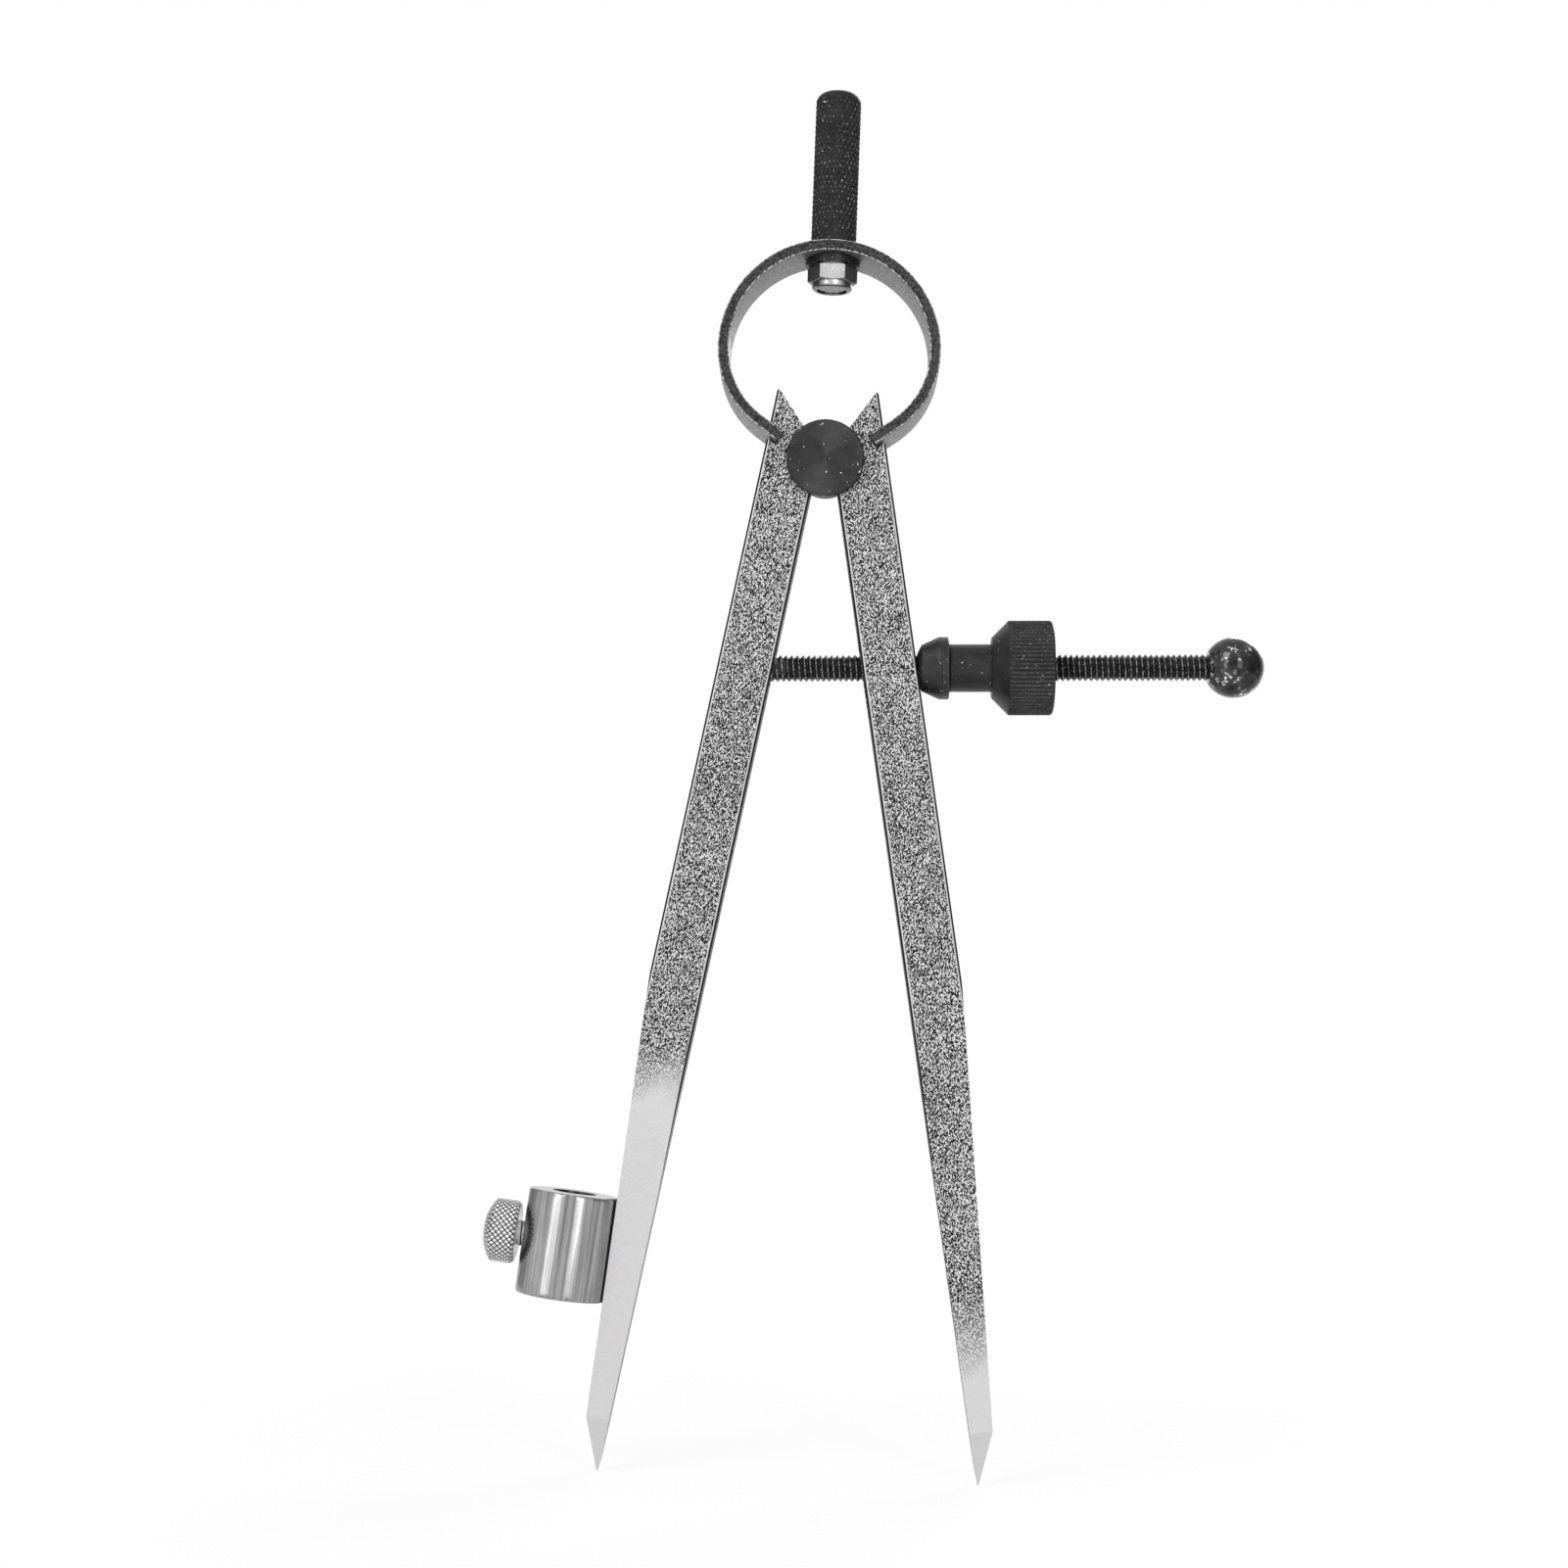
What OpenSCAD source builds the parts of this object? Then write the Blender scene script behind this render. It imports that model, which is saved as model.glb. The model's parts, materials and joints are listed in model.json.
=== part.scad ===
// Spring compass divider with a pencil clamp, in millimetres.
// The origin is midway between the two points, on the surface they mark.
// Z runs up the handle's axis, X runs towards the adjusting nut and Y runs from front to back.

/* [Legs] */
// Length of a leg along its flat, from its ear to its point
leg_len = 200; // [160:1:240]
// Width of a leg across its flat
leg_w = 10; // [9:0.5:12]
// Thickness of a leg from front to back
leg_t = 7.5; // [7:0.25:10]
// Angle between each leg's inner edge and the handle's axis
leg_splay = 10; // [8:0.5:13]
// Distance from the fulcrum's centre to a leg's inner edge
leg_inset = 1.4; // [1:0.1:2]
// Width of the blunt top of a leg's ear
ear_blunt = 0.3; // [0.1:0.1:0.8]
// Width of the bevel along a leg's long edges
leg_edge = 0.6; // [0.2:0.1:1]
// Distance below the fulcrum where a leg's outer edge and faces begin to taper
taper_start = 99; // [85:1:115]
// Width of a leg at the shoulder above its point
shoulder_w = 4.2; // [3.5:0.1:5.5]
// Thickness of a leg at the shoulder above its point
shoulder_t = 5; // [3.5:0.25:6.5]
// Length of the point below its shoulder
point_len = 9.4; // [7:0.2:12]
// Distance of the point from the line of the leg's inner edge
point_inset = 0.3; // [0.2:0.05:0.6]
// Length of the small bevel on the inner edge above the point
point_bevel = 3; // [2:0.5:5]
// Width of the blunt end of the point, the same both ways
point_flat = 0.3; // [0.1:0.1:0.4]

/* [Swing] */
// Largest angle that each leg opens from where it stands
swing_open = 20; // [10:1:22]
// Largest angle that each leg closes from where it stands
swing_close = 10.2; // [5:0.1:10.2]

/* [Fulcrum] */
// Diameter of the roller that both legs turn on
roller_d = 8; // [6.5:0.5:9]
// Diameter of the cap in front of the legs
front_cap_d = 14.3; // [12.5:0.1:16]
// Diameter of the cap behind the legs
rear_cap_d = 11.4; // [9.5:0.1:14]
// Thickness of each cap
cap_t = 1.6; // [1.2:0.1:2.5]
// Width of the rounded rim of each cap
cap_round = 0.5; // [0.2:0.1:0.8]
// Diameter of the rivet through the roller
rivet_d = 3.5; // [2.5:0.25:4.5]
// Diameter of the rivet's head behind the rear cap
rivet_head_d = 6.4; // [5.5:0.2:8]
// Height of the rivet's head
rivet_head_h = 1.1; // [0.6:0.1:1.6]

/* [Bow spring] */
// Outer diameter of the bow's upper half
bow_d = 41; // [37:0.5:46]
// Thickness of the bow's strip
bow_t = 2; // [1.5:0.1:2.5]
// Width of the bow's strip from front to back
bow_w = 12.5; // [9:0.5:14]
// Angle that each side of the bow bends inwards below its widest place
bow_turn = 54; // [48:1:60]
// Length of the straight tail at each end of the bow
tail_len = 5; // [4:0.25:6]
// Depth ground off each face of a tail
tail_ground = 0.1; // [0.1:0.05:0.3]
// Height of the tails' ends above the fulcrum
tail_rise = 3.6; // [3:0.1:4.2]
// Depth of a tail's end inside the leg's outer edge
tail_depth = 2.35; // [1.6:0.05:3]

/* [Handle] */
// Diameter of the handle
handle_d = 8.5; // [7.5:0.1:12]
// Length of the handle above the bow
handle_len = 29.2; // [20:0.1:60]
// Radius of the round at the handle's top edge
handle_round = 2; // [0.5:0.1:3]
// Width of the step round the handle's foot
handle_foot = 0.4; // [0.2:0.1:0.8]
// Diameter of the stud that joins the handle to the bow
stud_d = 5; // [4:0.25:5.5]
// Length of the stud inside the handle
stud_in_handle = 14; // [8:0.5:18]
// Diameter of the saddle washer under the bow's crown
saddle_d = 10; // [9:0.2:12]
// Thickness of the saddle washer at its middle
saddle_t = 1.7; // [1.2:0.1:2.5]
// Size of the lock nut across its flats
nut_flats = 8; // [7.5:0.25:10]
// Height of the lock nut's hexagon
nut_hex_h = 3.2; // [3:0.1:5]
// Diameter of the lock nut's round crown
nut_crown_d = 7.5; // [6.9:0.1:7.5]
// Height of the lock nut's round crown
nut_crown_h = 1.2; // [1.2:0.1:3]
// Diameter of the nylon ring in the lock nut's crown
insert_d = 6.3; // [6.1:0.1:6.5]
// Height of the nylon ring
insert_h = 1; // [0.8:0.1:1.5]
// Radius of the rounds at the lock nut's corners and crown
nut_round = 0.6; // [0.2:0.1:0.8]
// Thickness of the rolled lip under the nylon ring
nut_lip = 0.3; // [0.2:0.05:0.4]

/* [Adjusting screw] */
// Diameter of the screw over its thread
screw_d = 5; // [4:0.25:5.5]
// Distance from the screw's pivot to the centre of the ball
screw_reach = 88.4; // [84:0.2:110]
// Tilt of the screw, up towards the ball
screw_tilt = 2.2; // [0:0.1:4]
// Distance below the fulcrum to the screw's pivot, along the leg
pivot_drop = 40.2; // [36:0.2:44]
// Distance of the screw's pivot from the leg's inner edge
pivot_in = 3.5; // [3.2:0.1:4]
// Diameter of the pin through the screw's pivot
pivot_d = 2.5; // [2:0.1:3]
// Thickness of the flat eye at the screw's end
eye_t = 3.2; // [2.5:0.1:3.5]
// Diameter of the ball at the screw's end
ball_d = 11.2; // [9.5:0.1:14]
// Diameter of the flat where the screw enters the ball
ball_flat_d = 6.2; // [5.8:0.1:7]

/* [Adjusting nut] */
// Radius of the washer's round nose that seats on the right leg
nose_r = 8; // [6.5:0.25:10]
// Diameter of the washer where its nose meets its cone
nose_d = 8.6; // [8.4:0.1:9.8]
// Diameter of the washer's rim
cone_d = 11.5; // [10.5:0.1:13]
// Width of the washer's rim
cone_rim = 1.8; // [1:0.1:2.4]
// Length of the washer from the front of its nose to its back face
cone_len = 6.2; // [5.4:0.1:8]
// Diameter of the adjusting nut's neck
neck_d = 8.8; // [7.5:0.1:10]
// Length of the adjusting nut's neck
neck_len = 7.8; // [5:0.1:10]
// Diameter of the shoulder where the nut's neck meets its chamfer
shoulder_d = 11.2; // [10.5:0.1:13]
// Diameter of the adjusting nut's head
head_d = 17.4; // [15:0.1:20]
// Length of the adjusting nut's head past its chamfer
head_len = 8.1; // [5:0.1:10]
// Width of the small chamfer at the end of the nut's head
head_edge = 0.4; // [0.2:0.1:0.8]

/* [Pencil clamp] */
// Outer diameter of the pencil tube
tube_d = 16.5; // [14:0.5:18]
// Diameter of the pencil tube's bore
tube_bore = 8; // [7:0.5:11]
// Length of the pencil tube
tube_len = 19; // [15:0.5:24]
// Width of the chamfer round each end of the pencil tube
tube_round = 0.5; // [0.2:0.1:1]
// Distance below the fulcrum to the tube's middle, along the leg
tube_drop = 149.8; // [142:0.1:156]
// Depth of the tube's seat in the leg's outer edge
tube_seat = 0.2; // [0.1:0.05:0.5]
// Diameter of the thumb screw over its thread
thumb_d = 5; // [4:0.25:6]
// Height of the thumb screw above the tube's middle
thumb_rise = 0.9; // [0:0.1:3]
// Diameter of the thumb screw's head
thumb_head_d = 11.7; // [10:0.1:14]
// Length of the thumb screw's head
thumb_head_len = 6.4; // [4.6:0.1:8]
// Height of the dome on the thumb screw's head
thumb_dome = 2; // [1:0.1:2.5]
// Width of the chamfer round the back of the thumb screw's head
thumb_edge = 0.6; // [0.2:0.1:1]
// Gap between the tube and the thumb screw's head
thumb_gap = 0.9; // [0.8:0.1:3]

/* [Clearances] */
// Radial play of a shaft that turns or slides in a hole
run_clear = 0.05; // [0.02:0.01:0.1]
// Radial play of a stud that passes through a hole
pass_clear = 0.1; // [0.05:0.01:0.2]
// Gap between flat faces that turn past each other
side_clear = 0.1; // [0.05:0.01:0.2]
// Gap between a bow tail's end and the floor of its notch
tail_clear = 0.15; // [0.1:0.01:0.3]
// Gap between a bow tail and each side of its notch
notch_clear = 0.55; // [0.3:0.05:0.7]
// Gap round the screw inside the slot in the right leg
slot_clear = 0.2; // [0.1:0.05:0.3]
// Gap round the screw's eye inside the slot in the left leg
eye_clear = 0.2; // [0.1:0.05:0.3]
// Gap between the washer's nose and its seat on the right leg
nose_clear = 0.1; // [0.05:0.05:0.3]
// Gap between the thumb screw's tip and the pencil's bore
tip_clear = 0.2; // [0.1:0.05:0.4]

/* [Hidden] */
$fn = 96;

steel = "silver";
black = "dimgray";
bright = "gainsboro";
nylon = "ivory";
// Length of a cut past the faces it opens
past = 1;

// A leg is drawn upright beside the fulcrum: X across it and Z along it
leg_out = leg_inset + leg_w;
ear_top = leg_out - ear_blunt;
point_drop = leg_len - ear_top;
point_x = leg_inset + point_inset;
shoulder_drop = point_drop - point_len;
taper_angle = atan((leg_w - shoulder_w) / (shoulder_drop - taper_start));
tube_edge = leg_out - (tube_drop - taper_start) * tan(taper_angle);

// A place on a leg, x across and d down it, seen from the front with the right leg at angle a
function on_leg(x, d, a) = [x * cos(a) + d * sin(a), x * sin(a) - d * cos(a)];
fulcrum_z = -on_leg(point_x - point_flat / 2, point_drop, leg_splay).y;

// The bow's lower arcs are sized, to a hundredth, so that its tails end in the notches
function to_step(v) = round(v * 100) / 100;
// Radius of the ball whose cap is d across and h high
function dome_r(d, h) = (pow(d / 2, 2) + pow(h, 2)) / (2 * h);
bow_r = (bow_d - bow_t) / 2;
tail_t = bow_t - 2 * tail_ground;
tail_x = (leg_out - tail_rise * sin(leg_splay)) / cos(leg_splay) - tail_depth;
low_r = to_step((bow_r - tail_len * sin(bow_turn) - tail_x) / (1 - cos(bow_turn)));
bow_z = to_step(tail_rise + low_r * sin(bow_turn) + tail_len * cos(bow_turn));
crown_out = bow_z + bow_d / 2;
crown_in = crown_out - bow_t;
handle_top = crown_out + handle_len;
nut_top = crown_in - saddle_t;
nut_bottom = nut_top - nut_hex_h - nut_crown_h;
stud_bottom = nut_bottom + nut_lip;

// The caps stand just clear of the legs' faces
cap_y = leg_t / 2 + side_clear;
rivet_sink = cap_t / 2;

// The screw's line, from its pivot on the left leg at angle a to the right leg at the same angle
pivot_x = leg_inset + pivot_in;
eye_r = screw_d / 2;
function pivot(a) = let(p = on_leg(pivot_x, pivot_drop, a)) [-p.x, p.y];
function reach(a, x) = (x - pivot(a) * [cos(a), sin(a)]) / cos(a - screw_tilt);
function crossing(a, x) = pivot(a) + reach(a, x) * [cos(screw_tilt), sin(screw_tilt)];
function drop_at(a, x) = crossing(a, x) * [sin(a), -cos(a)];

// The slot in the right leg takes the screw and the washer's nose at every angle of the legs
angles = [leg_splay - swing_close, leg_splay, leg_splay + swing_open];
slot_w = screw_d + 2 * slot_clear;
nose_stand = sqrt(pow(nose_r, 2) - pow(slot_w / 2, 2));
nose_drops = [for (a = angles) drop_at(a, leg_out + nose_stand)];
screw_drops = [for (a = angles, x = [leg_inset, leg_out]) drop_at(a, x)];
slot_more = screw_d / 2 / cos(angles[2]) + slot_clear - slot_w / 2;
slot_first = min(min(nose_drops), min(screw_drops) - slot_more);
slot_last = max(max(nose_drops), max(screw_drops) + slot_more);

// The eye's slot in the left leg lets the screw swing
eye_swing = angles[2] + screw_tilt;
eye_slot_up = pivot_in * tan(eye_swing) + eye_r / cos(eye_swing) + eye_clear;
eye_slot_down = eye_r + eye_clear;
eye_slot_in = pivot_in + eye_r + eye_clear;
thread_start = (pivot_in + eye_r * sin(eye_swing)) / cos(eye_swing) + eye_clear;

// Places along the screw, from its pivot
nose_centre = reach(leg_splay, leg_out + nose_stand) + nose_clear;
cone_start = nose_centre - nose_r;
nose_len = nose_r - sqrt(pow(nose_r, 2) - pow(nose_d / 2, 2));
cone_end = cone_start + cone_len;
nut_start = cone_end + side_clear;
ball_flat = sqrt(pow(ball_d / 2, 2) - pow(ball_flat_d / 2, 2));

// The thumb screw's head stands off the tube
thumb_head_at = tube_d / 2 + thumb_gap;
// Radius of the ball that rounds the thumb screw's head
thumb_dome_r = dome_r(thumb_head_d, thumb_dome);

// Pieces are drawn about the fulcrum and lifted so that the points stand at zero
module lift() {
  translate([0, 0, fulcrum_z]) children();
}

module right_side() {
  rotate([0, -leg_splay, 0]) children();
}

module left_side() {
  mirror([1, 0, 0]) right_side() children();
}

// A flat outline in X and Z, given a thickness in Y
module plate(t) {
  rotate([90, 0, 0]) linear_extrude(t, center = true) children();
}

// A round bar from front to back
module cross_bar(d, len) {
  rotate([90, 0, 0]) cylinder(d = d, h = len, center = true);
}

// Children drawn along Z are laid along the screw, t from its pivot
module along_screw(t) {
  p = pivot(leg_splay);
  translate([p.x, 0, p.y])
    rotate([0, 90 - screw_tilt, 0])
      translate([0, 0, t]) children();
}

// The tube's frame: Z up the tube's axis and X away from the leg
module at_tube() {
  left_side()
    translate([tube_edge, 0, -tube_drop])
      rotate([0, taper_angle, 0])
        translate([tube_d / 2 - tube_seat, 0, 0]) children();
}

// Children drawn along Z are laid along the thumb screw, outwards from the tube's axis
module along_thumb() {
  at_tube() translate([0, 0, thumb_rise]) rotate([0, 90, 0]) children();
}

// The frame of the bow's right lower arc
module at_bow_side() {
  translate([bow_r - low_r, 0, bow_z]) rotate([90, 0, 0]) children();
}

// A tail of the bow on the right side, or its notch when it is given play
module bow_tail(width, thickness, end_play) {
  at_bow_side()
    rotate([0, 0, -bow_turn])
      translate([low_r, (past - tail_len - end_play) / 2, 0])
        cube([thickness, past + tail_len + end_play, width], center = true);
}

// The bow's strip bent to a radius through an angle, from another angle
module strip_arc(r, angle, from) {
  rotate_extrude(angle = angle, start = from)
    translate([r, 0]) square([bow_t, bow_w], center = true);
}

// A round bar with one rounded end, as half its section
module rounded_section(d, len, r) {
  square([d / 2, len - r]);
  square([d / 2 - r, len]);
  translate([d / 2 - r, len - r])
    intersection() {
      circle(r = r);
      square(r);
    }
}

// A low dome on a flat round base
module dome(d, h) {
  r = dome_r(d, h);
  intersection() {
    translate([0, 0, h - r]) sphere(r = r);
    cylinder(d = d, h = h);
  }
}

// Outline of a leg from the front
module leg_face() {
  polygon([
    [leg_inset, leg_inset],
    [ear_top, ear_top],
    [leg_out, ear_top - ear_blunt],
    [leg_out, -taper_start],
    [leg_inset + shoulder_w, -shoulder_drop],
    [point_x + point_flat / 2, -point_drop],
    [point_x - point_flat / 2, -point_drop],
    [leg_inset, point_bevel - point_drop]
  ]);
}

// Outline of a leg from the side
module leg_side() {
  half = [
    [leg_t / 2, leg_out],
    [leg_t / 2, -taper_start],
    [shoulder_t / 2, -shoulder_drop],
    [point_flat / 2, -point_drop]
  ];
  polygon(concat(half, [for (i = [3:-1:0]) [-half[i].x, half[i].y]]));
}

// Outline that bevels a leg's long edges, seen from its end
module leg_end() {
  half = (leg_w + leg_t) / 2 - leg_edge;
  translate([leg_inset + leg_w / 2, 0])
    polygon([[half, 0], [0, half], [-half, 0], [0, -half]]);
}

// A leg with its recess for the roller and its notch for the bow, on the right side
module leg_blank() {
  difference() {
    right_side()
      intersection() {
        plate(leg_t) leg_face();
        rotate([0, 0, 90]) plate(4 * leg_out) leg_side();
        translate([0, 0, -leg_len]) linear_extrude(leg_len + 2 * leg_out) leg_end();
      }
    cross_bar(roller_d + 2 * run_clear, leg_t + past);
    bow_tail(leg_t + bow_w, tail_t + 2 * notch_clear, tail_clear);
  }
}

// Round-ended slot for the screw, seen along the screw
module slot_outline() {
  translate([-slot_w / 2, -slot_last]) square([slot_w, slot_last - slot_first]);
  for (drop = [slot_first, slot_last])
    translate([0, -drop]) circle(d = slot_w);
}

// Room for the screw's eye, open on the leg's inner edge
module eye_slot() {
  translate([leg_inset - past, -eye_t / 2 - side_clear, -pivot_drop - eye_slot_down])
    cube([past + eye_slot_in, eye_t + 2 * side_clear, eye_slot_up + eye_slot_down]);
}

module left_leg() {
  color(steel)
    lift()
      difference() {
        mirror([1, 0, 0]) leg_blank();
        left_side() eye_slot();
        left_side() translate([pivot_x, 0, -pivot_drop]) cross_bar(pivot_d, leg_t + past);
        at_tube() cylinder(d = tube_d, h = 2 * tube_len, center = true);
      }
}

module right_leg() {
  color(steel)
    lift()
      difference() {
        leg_blank();
        right_side()
          translate([leg_inset - past, 0, 0])
            rotate([90, 0, 90])
              linear_extrude(leg_w + 2 * past) slot_outline();
      }
}

module bow_half() {
  at_bow_side() strip_arc(low_r, bow_turn, -bow_turn);
  bow_tail(bow_w, tail_t, 0);
}

module bow_spring() {
  color(black)
    lift()
      difference() {
        union() {
          translate([0, 0, bow_z]) rotate([90, 0, 0]) strip_arc(bow_r, 180, 0);
          bow_half();
          mirror([1, 0, 0]) bow_half();
        }
        translate([0, 0, bow_z]) cylinder(d = stud_d + 2 * pass_clear, h = bow_d);
      }
}

// Half section of the handle, stepped in at its foot
module handle_section() {
  foot_r = handle_d / 2 - handle_foot;
  polygon([
    [0, 0],
    [foot_r, 0],
    [foot_r, bow_t],
    [handle_d / 2, bow_t + handle_foot],
    [handle_d / 2, bow_t + handle_len / 2],
    [0, bow_t + handle_len / 2]
  ]);
  translate([0, bow_t + handle_foot])
    rounded_section(handle_d, handle_len - handle_foot, handle_round);
}

// The handle's foot is hollowed to sit on the bow's crown
module handle() {
  color(black)
    lift()
      difference() {
        translate([0, 0, crown_in])
          rotate_extrude() handle_section();
        translate([0, 0, bow_z]) cross_bar(bow_d, bow_w + handle_d);
        translate([0, 0, crown_in]) cylinder(d = stud_d, h = bow_t + stud_in_handle);
      }
}

module handle_stud() {
  color(bright)
    lift()
      translate([0, 0, stud_bottom])
        cylinder(d = stud_d, h = crown_out + stud_in_handle - stud_bottom);
}

// Flat below for the nut, and rounded above to fill the bow's crown
module saddle_washer() {
  color(black)
    lift()
      difference() {
        intersection() {
          translate([0, 0, nut_top]) cylinder(d = saddle_d, h = saddle_t);
          translate([0, 0, bow_z]) cross_bar(bow_d - 2 * bow_t, saddle_d + past);
        }
        translate([0, 0, bow_z]) cylinder(d = stud_d + 2 * pass_clear, h = bow_d);
      }
}

// Hexagon above with its corners turned off, and a round crown below that holds the nylon ring
module lock_nut() {
  nut_corners = nut_flats / cos(30);
  color(bright)
    lift()
      translate([0, 0, nut_bottom])
        difference() {
          union() {
            translate([0, 0, nut_crown_h])
              intersection() {
                cylinder(d = nut_corners, h = nut_hex_h, $fn = 6);
                rotate_extrude() rounded_section(nut_corners, nut_hex_h, nut_round);
              }
            mirror([0, 0, 1])
              translate([0, 0, -nut_crown_h - nut_hex_h / 2])
                rotate_extrude() rounded_section(nut_crown_d, nut_crown_h + nut_hex_h / 2, nut_round);
          }
          translate([0, 0, -past]) cylinder(d = stud_d, h = nut_crown_h + nut_hex_h + 2 * past);
          translate([0, 0, nut_lip]) cylinder(d = insert_d, h = insert_h);
          translate([0, 0, -past]) cylinder(d = stud_d + 2 * nut_lip, h = past + nut_lip);
        }
}

module lock_nut_insert() {
  color(nylon)
    lift()
      translate([0, 0, nut_bottom + nut_lip])
        difference() {
          cylinder(d = insert_d, h = insert_h);
          translate([0, 0, -past]) cylinder(d = stud_d, h = insert_h + 2 * past);
        }
}

module cap(d) {
  rotate_extrude() rounded_section(d, cap_t, cap_round);
}

module fulcrum_front_cap() {
  color(black)
    lift()
      rotate([90, 0, 0])
        translate([0, 0, cap_y])
          difference() {
            cap(front_cap_d);
            translate([0, 0, -past]) cylinder(d = rivet_d, h = past + rivet_sink);
          }
}

module fulcrum_rear_cap() {
  color(black)
    lift()
      rotate([-90, 0, 0])
        translate([0, 0, cap_y])
          difference() {
            cap(rear_cap_d);
            translate([0, 0, -past]) cylinder(d = rivet_d, h = cap_t + 2 * past);
          }
}

module fulcrum_roller() {
  color(steel)
    lift()
      difference() {
        cross_bar(roller_d, 2 * cap_y);
        cross_bar(rivet_d, 2 * cap_y + past);
      }
}

// The rivet ends inside the front cap and is headed over behind the rear cap
module fulcrum_rivet() {
  color(bright)
    lift()
      rotate([-90, 0, 0]) {
        translate([0, 0, -cap_y - rivet_sink])
          cylinder(d = rivet_d, h = 2 * cap_y + rivet_sink + cap_t);
        translate([0, 0, cap_y + cap_t]) dome(rivet_head_d, rivet_head_h);
      }
}

// Round bar with a flat eye at one end, where the pin holds it in the left leg
module adjusting_screw() {
  color(black)
    lift()
      along_screw(0)
        difference() {
          union() {
            cylinder(d = screw_d, h = screw_reach);
            cross_bar(2 * eye_r, eye_t);
          }
          for (side = [-1, 1])
            translate([-screw_d, side * (eye_t + screw_d) / 2 - screw_d / 2, -screw_d])
              cube([2 * screw_d, screw_d, screw_d + thread_start]);
          cross_bar(pivot_d + 2 * run_clear, screw_d);
        }
}

module screw_pivot_pin() {
  color(bright)
    lift()
      left_side()
        translate([pivot_x, 0, -pivot_drop]) cross_bar(pivot_d, leg_t);
}

// The ball is pressed on the screw's end as far as its centre
module ball_knob() {
  color(black)
    lift()
      along_screw(screw_reach)
        difference() {
          sphere(d = ball_d);
          translate([0, 0, -ball_d]) cylinder(d = screw_d, h = ball_d);
          translate([0, 0, -ball_flat - ball_d]) cylinder(d = 2 * ball_d, h = ball_d);
        }
}

// The washer's round nose tilts in the mouth of the right leg's slot as the legs open
module cone_washer() {
  color(black)
    lift()
      along_screw(cone_start)
        difference() {
          intersection() {
            translate([0, 0, nose_r]) sphere(r = nose_r);
            union() {
              cylinder(d = nose_d, h = nose_len);
              translate([0, 0, nose_len])
                cylinder(d1 = nose_d, d2 = cone_d, h = cone_len - cone_rim - nose_len);
              translate([0, 0, cone_len - cone_rim]) cylinder(d = cone_d, h = cone_rim);
            }
          }
          translate([0, 0, -past]) cylinder(d = screw_d + 2 * run_clear, h = cone_len + 2 * past);
        }
}

module adjusting_nut() {
  bore_r = screw_d / 2 + run_clear;
  head_start = neck_len + (head_d - shoulder_d) / 2;
  head_end = head_start + head_len;
  color(black)
    lift()
      along_screw(nut_start)
        rotate_extrude()
          polygon([
            [bore_r, 0],
            [neck_d / 2, 0],
            [neck_d / 2, neck_len],
            [shoulder_d / 2, neck_len],
            [head_d / 2, head_start],
            [head_d / 2, head_end - head_edge],
            [head_d / 2 - head_edge, head_end],
            [bore_r, head_end]
          ]);
}

module pencil_tube() {
  color(steel)
    lift()
      difference() {
        at_tube()
          rotate_extrude()
            polygon([
              [tube_bore / 2, -tube_len / 2],
              [tube_d / 2 - tube_round, -tube_len / 2],
              [tube_d / 2, -tube_len / 2 + tube_round],
              [tube_d / 2, tube_len / 2 - tube_round],
              [tube_d / 2 - tube_round, tube_len / 2],
              [tube_bore / 2, tube_len / 2]
            ]);
        along_thumb() cylinder(d = thumb_d + 2 * run_clear, h = tube_d);
      }
}

// Half section of the thumb screw's head before its end is domed
module thumb_section() {
  polygon([
    [0, 0],
    [thumb_head_d / 2 - thumb_edge, 0],
    [thumb_head_d / 2, thumb_edge],
    [thumb_head_d / 2, thumb_head_len],
    [0, thumb_head_len]
  ]);
}

module thumb_screw() {
  color(bright)
    lift()
      along_thumb() {
        translate([0, 0, tube_bore / 2 + tip_clear])
          cylinder(d = thumb_d, h = thumb_head_at - tube_bore / 2 - tip_clear + thumb_head_len / 2);
        translate([0, 0, thumb_head_at])
          intersection() {
            rotate_extrude() thumb_section();
            translate([0, 0, thumb_head_len - thumb_dome_r]) sphere(r = thumb_dome_r);
          }
      }
}

left_leg();
right_leg();
bow_spring();
handle();
handle_stud();
saddle_washer();
lock_nut();
lock_nut_insert();
fulcrum_front_cap();
fulcrum_rear_cap();
fulcrum_roller();
fulcrum_rivet();
adjusting_screw();
screw_pivot_pin();
ball_knob();
cone_washer();
adjusting_nut();
pencil_tube();
thumb_screw();
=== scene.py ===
import json
import math

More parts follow.
